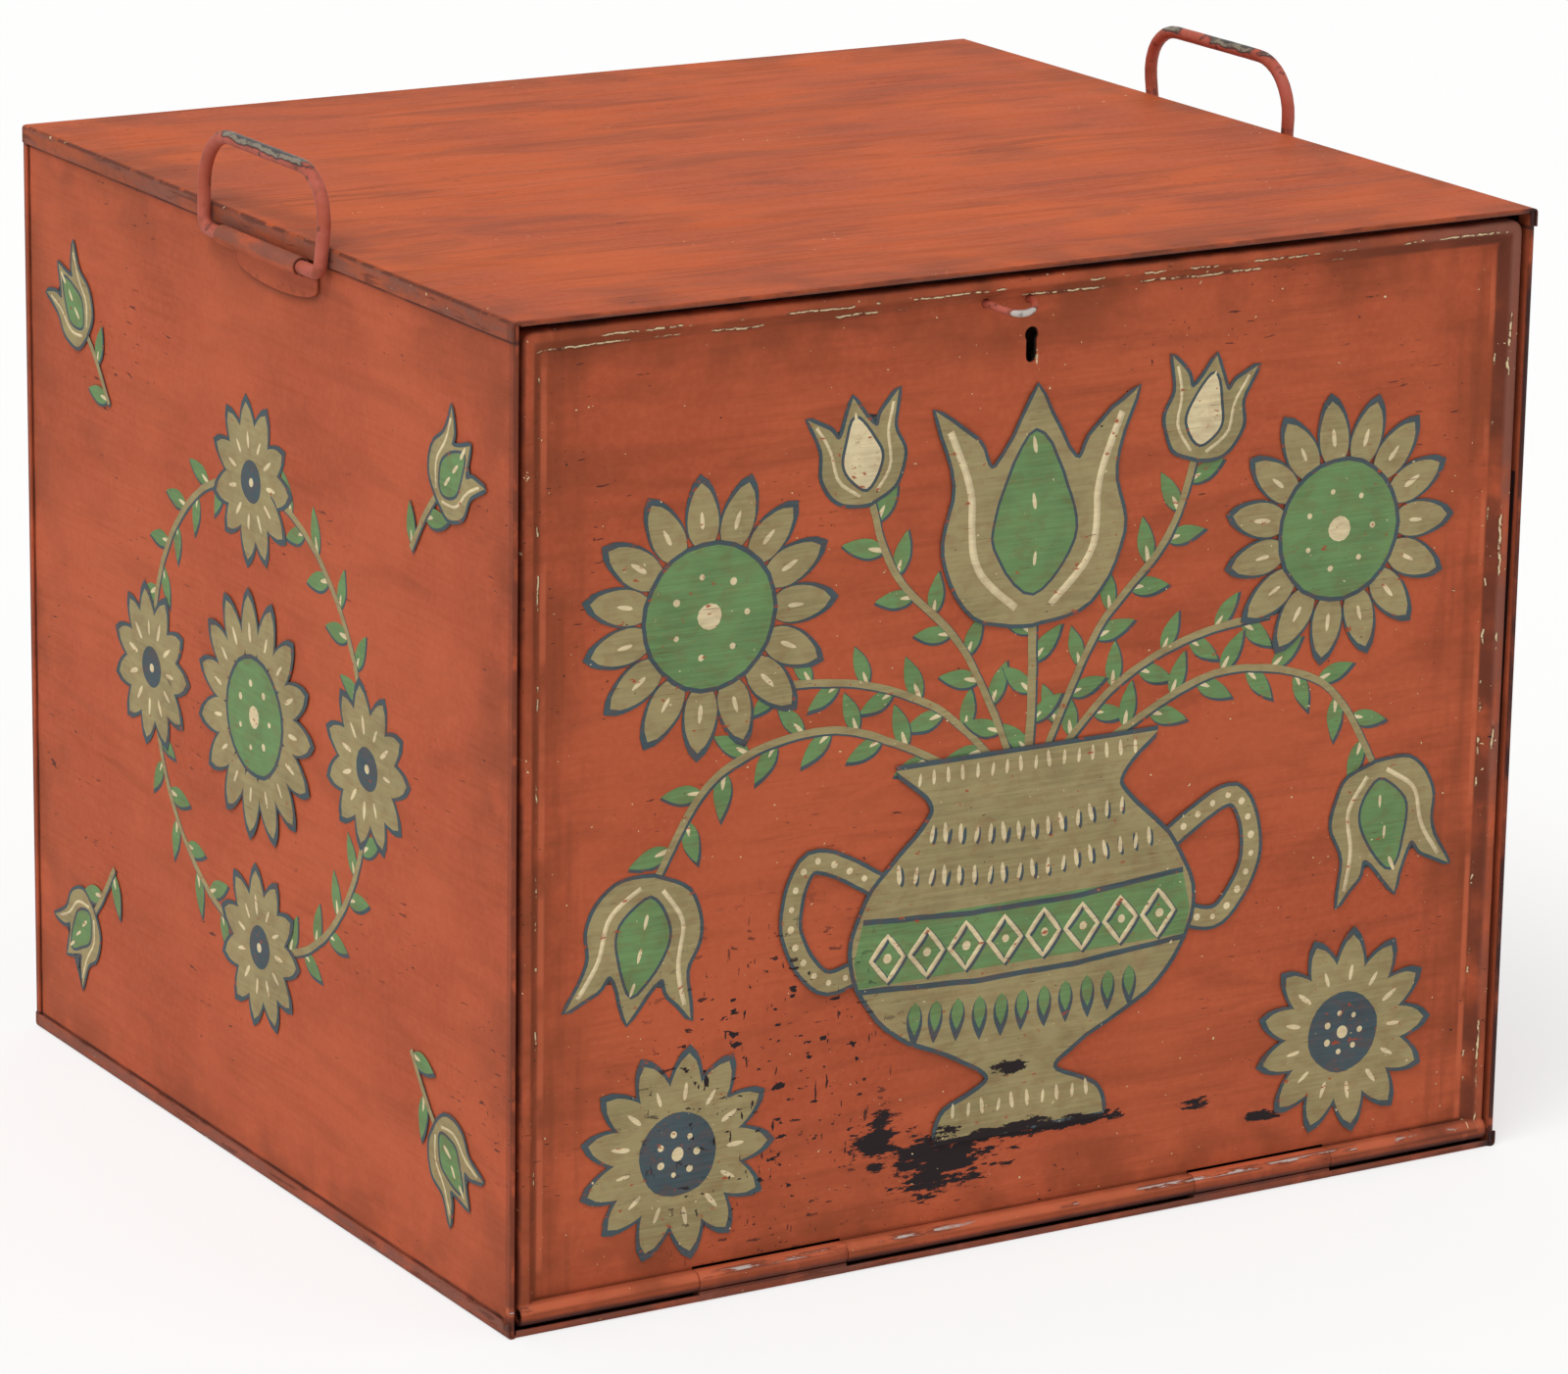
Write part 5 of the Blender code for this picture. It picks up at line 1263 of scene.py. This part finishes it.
class DEEDBOX_OT_pull_loop(bpy.types.Operator):
    """Bend the wire pull loop"""
    bl_idname = "deedbox.pull_loop"
    bl_label = "Pull loop"

    def execute(self, context):
        h, sheet = context.scene.deedbox_handle, context.scene.deedbox_sheet
        low, high = LOOP_BOX
        middle, leg_z = (low.x + high.x) / 2, high.z - h.wire
        front, back = low.y + h.wire, high.y - h.wire
        kink = SIDE_BOX[0].y + sheet.inset + sheet.recess - h.loop_straight
        left, right = ([(Vector((middle + side * (h.loop_width / 2 + h.loop_tail), back, leg_z)), 0),
                        (Vector((middle + side * h.loop_width / 2, back, leg_z)), h.wire_bend)]
                       for side in (-1, 1))
        bow = []
        for i in range(BOW_STEPS + 1):
            turn = math.pi * i / BOW_STEPS
            bow.append((Vector((middle - h.loop_width / 2 * math.cos(turn),
                                kink - (kink - front) * math.sin(turn),
                                leg_z - h.loop_droop * math.sin(turn) ** 2)), 0))
        mesh = run_tree(rod_tree(), path_mesh([rounded(left + bow + right[::-1], 6)]),
                        {"Radius": h.wire, "Step": WIRE_STEP, "Sides": WIRE_SIDES,
                         "Hammer Marks": h.wire_marks, "Finish": finishes()["loop_wire_paint"]})
        mesh.shade_smooth()
        new_piece("wire_pull", mesh, "flap", "handle_paint", "pull_loop")
        return {"FINISHED"}


class DEEDBOX_OT_lock_fittings(bpy.types.Operator):
    """Finish the lock, the stops, the keeper and the hinge wire"""
    bl_idname = "deedbox.lock_fittings"
    bl_label = "Lock and fittings"

    def execute(self, context):
        stock = finishes()
        groups = {"old_japan": ("left_flap_stop", "right_flap_stop", "top_keeper"),
                  "dull_steel": ("hinge_pin", "lock_plate", "lock_case", "bolt_spring",
                                 "lock_rivet_1", "lock_rivet_2", "lock_rivet_3", "lock_rivet_4"),
                  "dull_brass": ("key_ward", "lock_bolt")}
        for paint, nodes in groups.items():
            for node in nodes:
                mesh = frame["nodes"][node].data
                mesh.materials.clear()
                mesh.materials.append(stock[paint])
        return {"FINISHED"}


class DEEDBOX_OT_flap_bouquet(bpy.types.Operator):
    """Paint the urn of flowers on the flap"""
    bl_idname = "deedbox.flap_bouquet"
    bl_label = "Flap bouquet"

    def execute(self, context):
        picture = Painting(sheet_faces()["front_flap"], paints_for("bouquet", True), 11)
        arcs = ([(14, 190), (40, 214), (74, 228), (108, 232)],
                [(32, 190), (84, 212), (134, 202), (160, 166)],
                [(8, 192), (30, 236), (60, 268), (72, 300)])
        for arc in arcs:
            stem(picture, arc)
            stem(picture, mirrored(arc))
        stem(picture, [(0, 190), (1, 215), (0, 250)], width=1.3)
        for side in (-1, 1):
            tulip(picture, (side * 161, 166), -math.pi / 2 + side * 0.2, 52)
            tulip(picture, (side * 72, 297), math.pi / 2 - side * 0.2, 38, "cream")
            rosette(picture, (side * 139, 262), 50, 14)
            rosette(picture, (side * 150, 58), 38, 12, "slate")
        tulip(picture, (0, 242), math.pi / 2, 86)
        paint_urn(picture, 1.12)
        picture.lay("bouquet", "flap")
        return {"FINISHED"}


def on_wreath(turn):
    """Point of the ring of leaves on a side."""
    return WREATH_RADIUS * math.cos(turn), WREATH_MIDDLE + WREATH_RADIUS * math.sin(turn)


class DEEDBOX_OT_side_wreaths(bpy.types.Operator):
    """Paint a wreath on each side"""
    bl_idname = "deedbox.side_wreaths"
    bl_label = "Side wreaths"

    def execute(self, context):
        faces = sheet_faces()
        paints = paints_for("wreath", False)
        for side, seed in (("left", 40), ("right", 70)):
            picture = Painting(faces[f"{side}_side_panel"], paints, seed)
            for part in range(4):
                stem(picture, [on_wreath(math.pi / 2 * part + a) for a in (0.2, 0.5, 0.8, 1.1, 1.36)])
            for part in range(4):
                rosette(picture, on_wreath(math.pi / 2 * (part + 0.02)), 30, 10, "slate")
            for across, rise in ((-1, -1), (-1, 1), (1, -1), (1, 1)):
                stalk = [(across * x, WREATH_MIDDLE + rise * y)
                         for x, y in ((128, 96), (140, 112), (150, 122), (148, 119))]
                stem(picture, stalk[:3], width=0.9)
                tulip(picture, stalk[3], math.atan2(rise, across), 34)
            rosette(picture, (0, WREATH_MIDDLE), 46, 14)
            picture.lay(f"{side}_wreath", "case")
        return {"FINISHED"}


class DEEDBOX_OT_stage(bpy.types.Operator):
    """Set the camera, the floor and the light"""
    bl_idname = "deedbox.stage"
    bl_label = "Stage"

    def execute(self, context):
        scene = context.scene
        stage = scene.deedbox_stage
        lens_data = bpy.data.cameras.new("camera")
        lens_data.lens = stage.lens
        camera = bpy.data.objects.new("camera", lens_data)
        camera.matrix_world = (Matrix.Translation(stage.place) @ Matrix.Rotation(stage.azimuth, 4, "Z")
                               @ Matrix.Rotation(math.pi / 2 - stage.elevation, 4, "X")
                               @ Matrix.Rotation(stage.roll, 4, "Z"))
        scene.collection.objects.link(camera)
        scene.camera = camera
        floor_mesh = bpy.data.meshes.new("floor")
        corners = [(x * stage.reach, y * stage.reach, 0) for x, y in ((-1, -1), (1, -1), (1, 1), (-1, 1))]
        floor_mesh.from_pydata(corners, [], [(0, 1, 2, 3)])
        floor = bpy.data.objects.new("floor", floor_mesh)
        scene.collection.objects.link(floor)
        # Matt paper: the faintest mottle, so that the floor stays plain
        paper = Finish("studio_paper")
        mottle = paper.blotches(300, 0.2, 0.8, 61)
        tone = paper.coats(paper.rgba(stage.floor), ([c * 0.985 for c in stage.floor], mottle))
        paper.tree.links.new(tone, paper.shader.inputs["Base Color"])
        paper.shader.inputs["Roughness"].default_value = 0.9
        paper.shader.inputs["Specular IOR Level"].default_value = 0.1
        lit = paper.add("ShaderNodeMixShader", {0: paper.product(seen(paper.tree), stage.glow),
                                                1: paper.shader.outputs[0],
                                                2: paper.add("ShaderNodeEmission")})
        paper.tree.links.new(lit, paper.tree.nodes["Material Output"].inputs["Surface"])
        floor_mesh.materials.append(paper.material)
        key = bpy.data.lights.new("key", "SUN")
        key.energy, key.angle = stage.key, stage.key_spread
        lamp = bpy.data.objects.new("key", key)
        lamp.rotation_euler = Vector(stage.key_way).to_track_quat("-Z", "Y").to_euler()
        scene.collection.objects.link(lamp)
        world = bpy.data.worlds.new("studio")
        scene.world = world
        world.use_nodes = True
        tree = world.node_tree
        level = add(tree, "ShaderNodeMapRange", {"Value": seen(tree), "To Min": stage.sky,
                                                 "To Max": 1})
        sky = tree.nodes["Background"]
        tree.links.new(level, sky.inputs["Strength"])
        sky.inputs["Color"].default_value = (1, 1, 1, 1)
        scene.view_settings.view_transform = "Standard"
        return {"FINISHED"}


class DEEDBOX_PT_panel(bpy.types.Panel):
    """Steps that dress the box"""
    bl_label = "Deed box"
    bl_space_type = "VIEW_3D"
    bl_region_type = "UI"
    bl_category = "Deed box"

    def draw(self, context):
        for step in STEPS:
            self.layout.operator(step.bl_idname)
        for group in GROUPS:
            values = getattr(context.scene, group)
            box = self.layout.box()
            for label in values.__annotations__:
                box.prop(values, label)


STEPS = (DEEDBOX_OT_stage, DEEDBOX_OT_case_sheets, DEEDBOX_OT_drop_flap, DEEDBOX_OT_bail_handles,
         DEEDBOX_OT_pull_loop, DEEDBOX_OT_lock_fittings, DEEDBOX_OT_flap_bouquet,
         DEEDBOX_OT_side_wreaths)
GROUPS = {"deedbox_sheet": SheetSettings, "deedbox_finish": FinishSettings,
          "deedbox_handle": HandleSettings, "deedbox_ornament": OrnamentSettings,
          "deedbox_stage": StageSettings}


def register():
    for cls in (*GROUPS.values(), *STEPS, DEEDBOX_PT_panel):
        bpy.utils.register_class(cls)
    for name, cls in GROUPS.items():
        setattr(bpy.types.Scene, name, bpy.props.PointerProperty(type=cls))


def unregister():
    for name in GROUPS:
        delattr(bpy.types.Scene, name)
    for cls in reversed((*GROUPS.values(), *STEPS, DEEDBOX_PT_panel)):
        bpy.utils.unregister_class(cls)


def main():
    register()
    for step in STEPS:
        group, name = step.bl_idname.split(".")
        getattr(getattr(bpy.ops, group), name)()


if __name__ == "__main__":
    main()
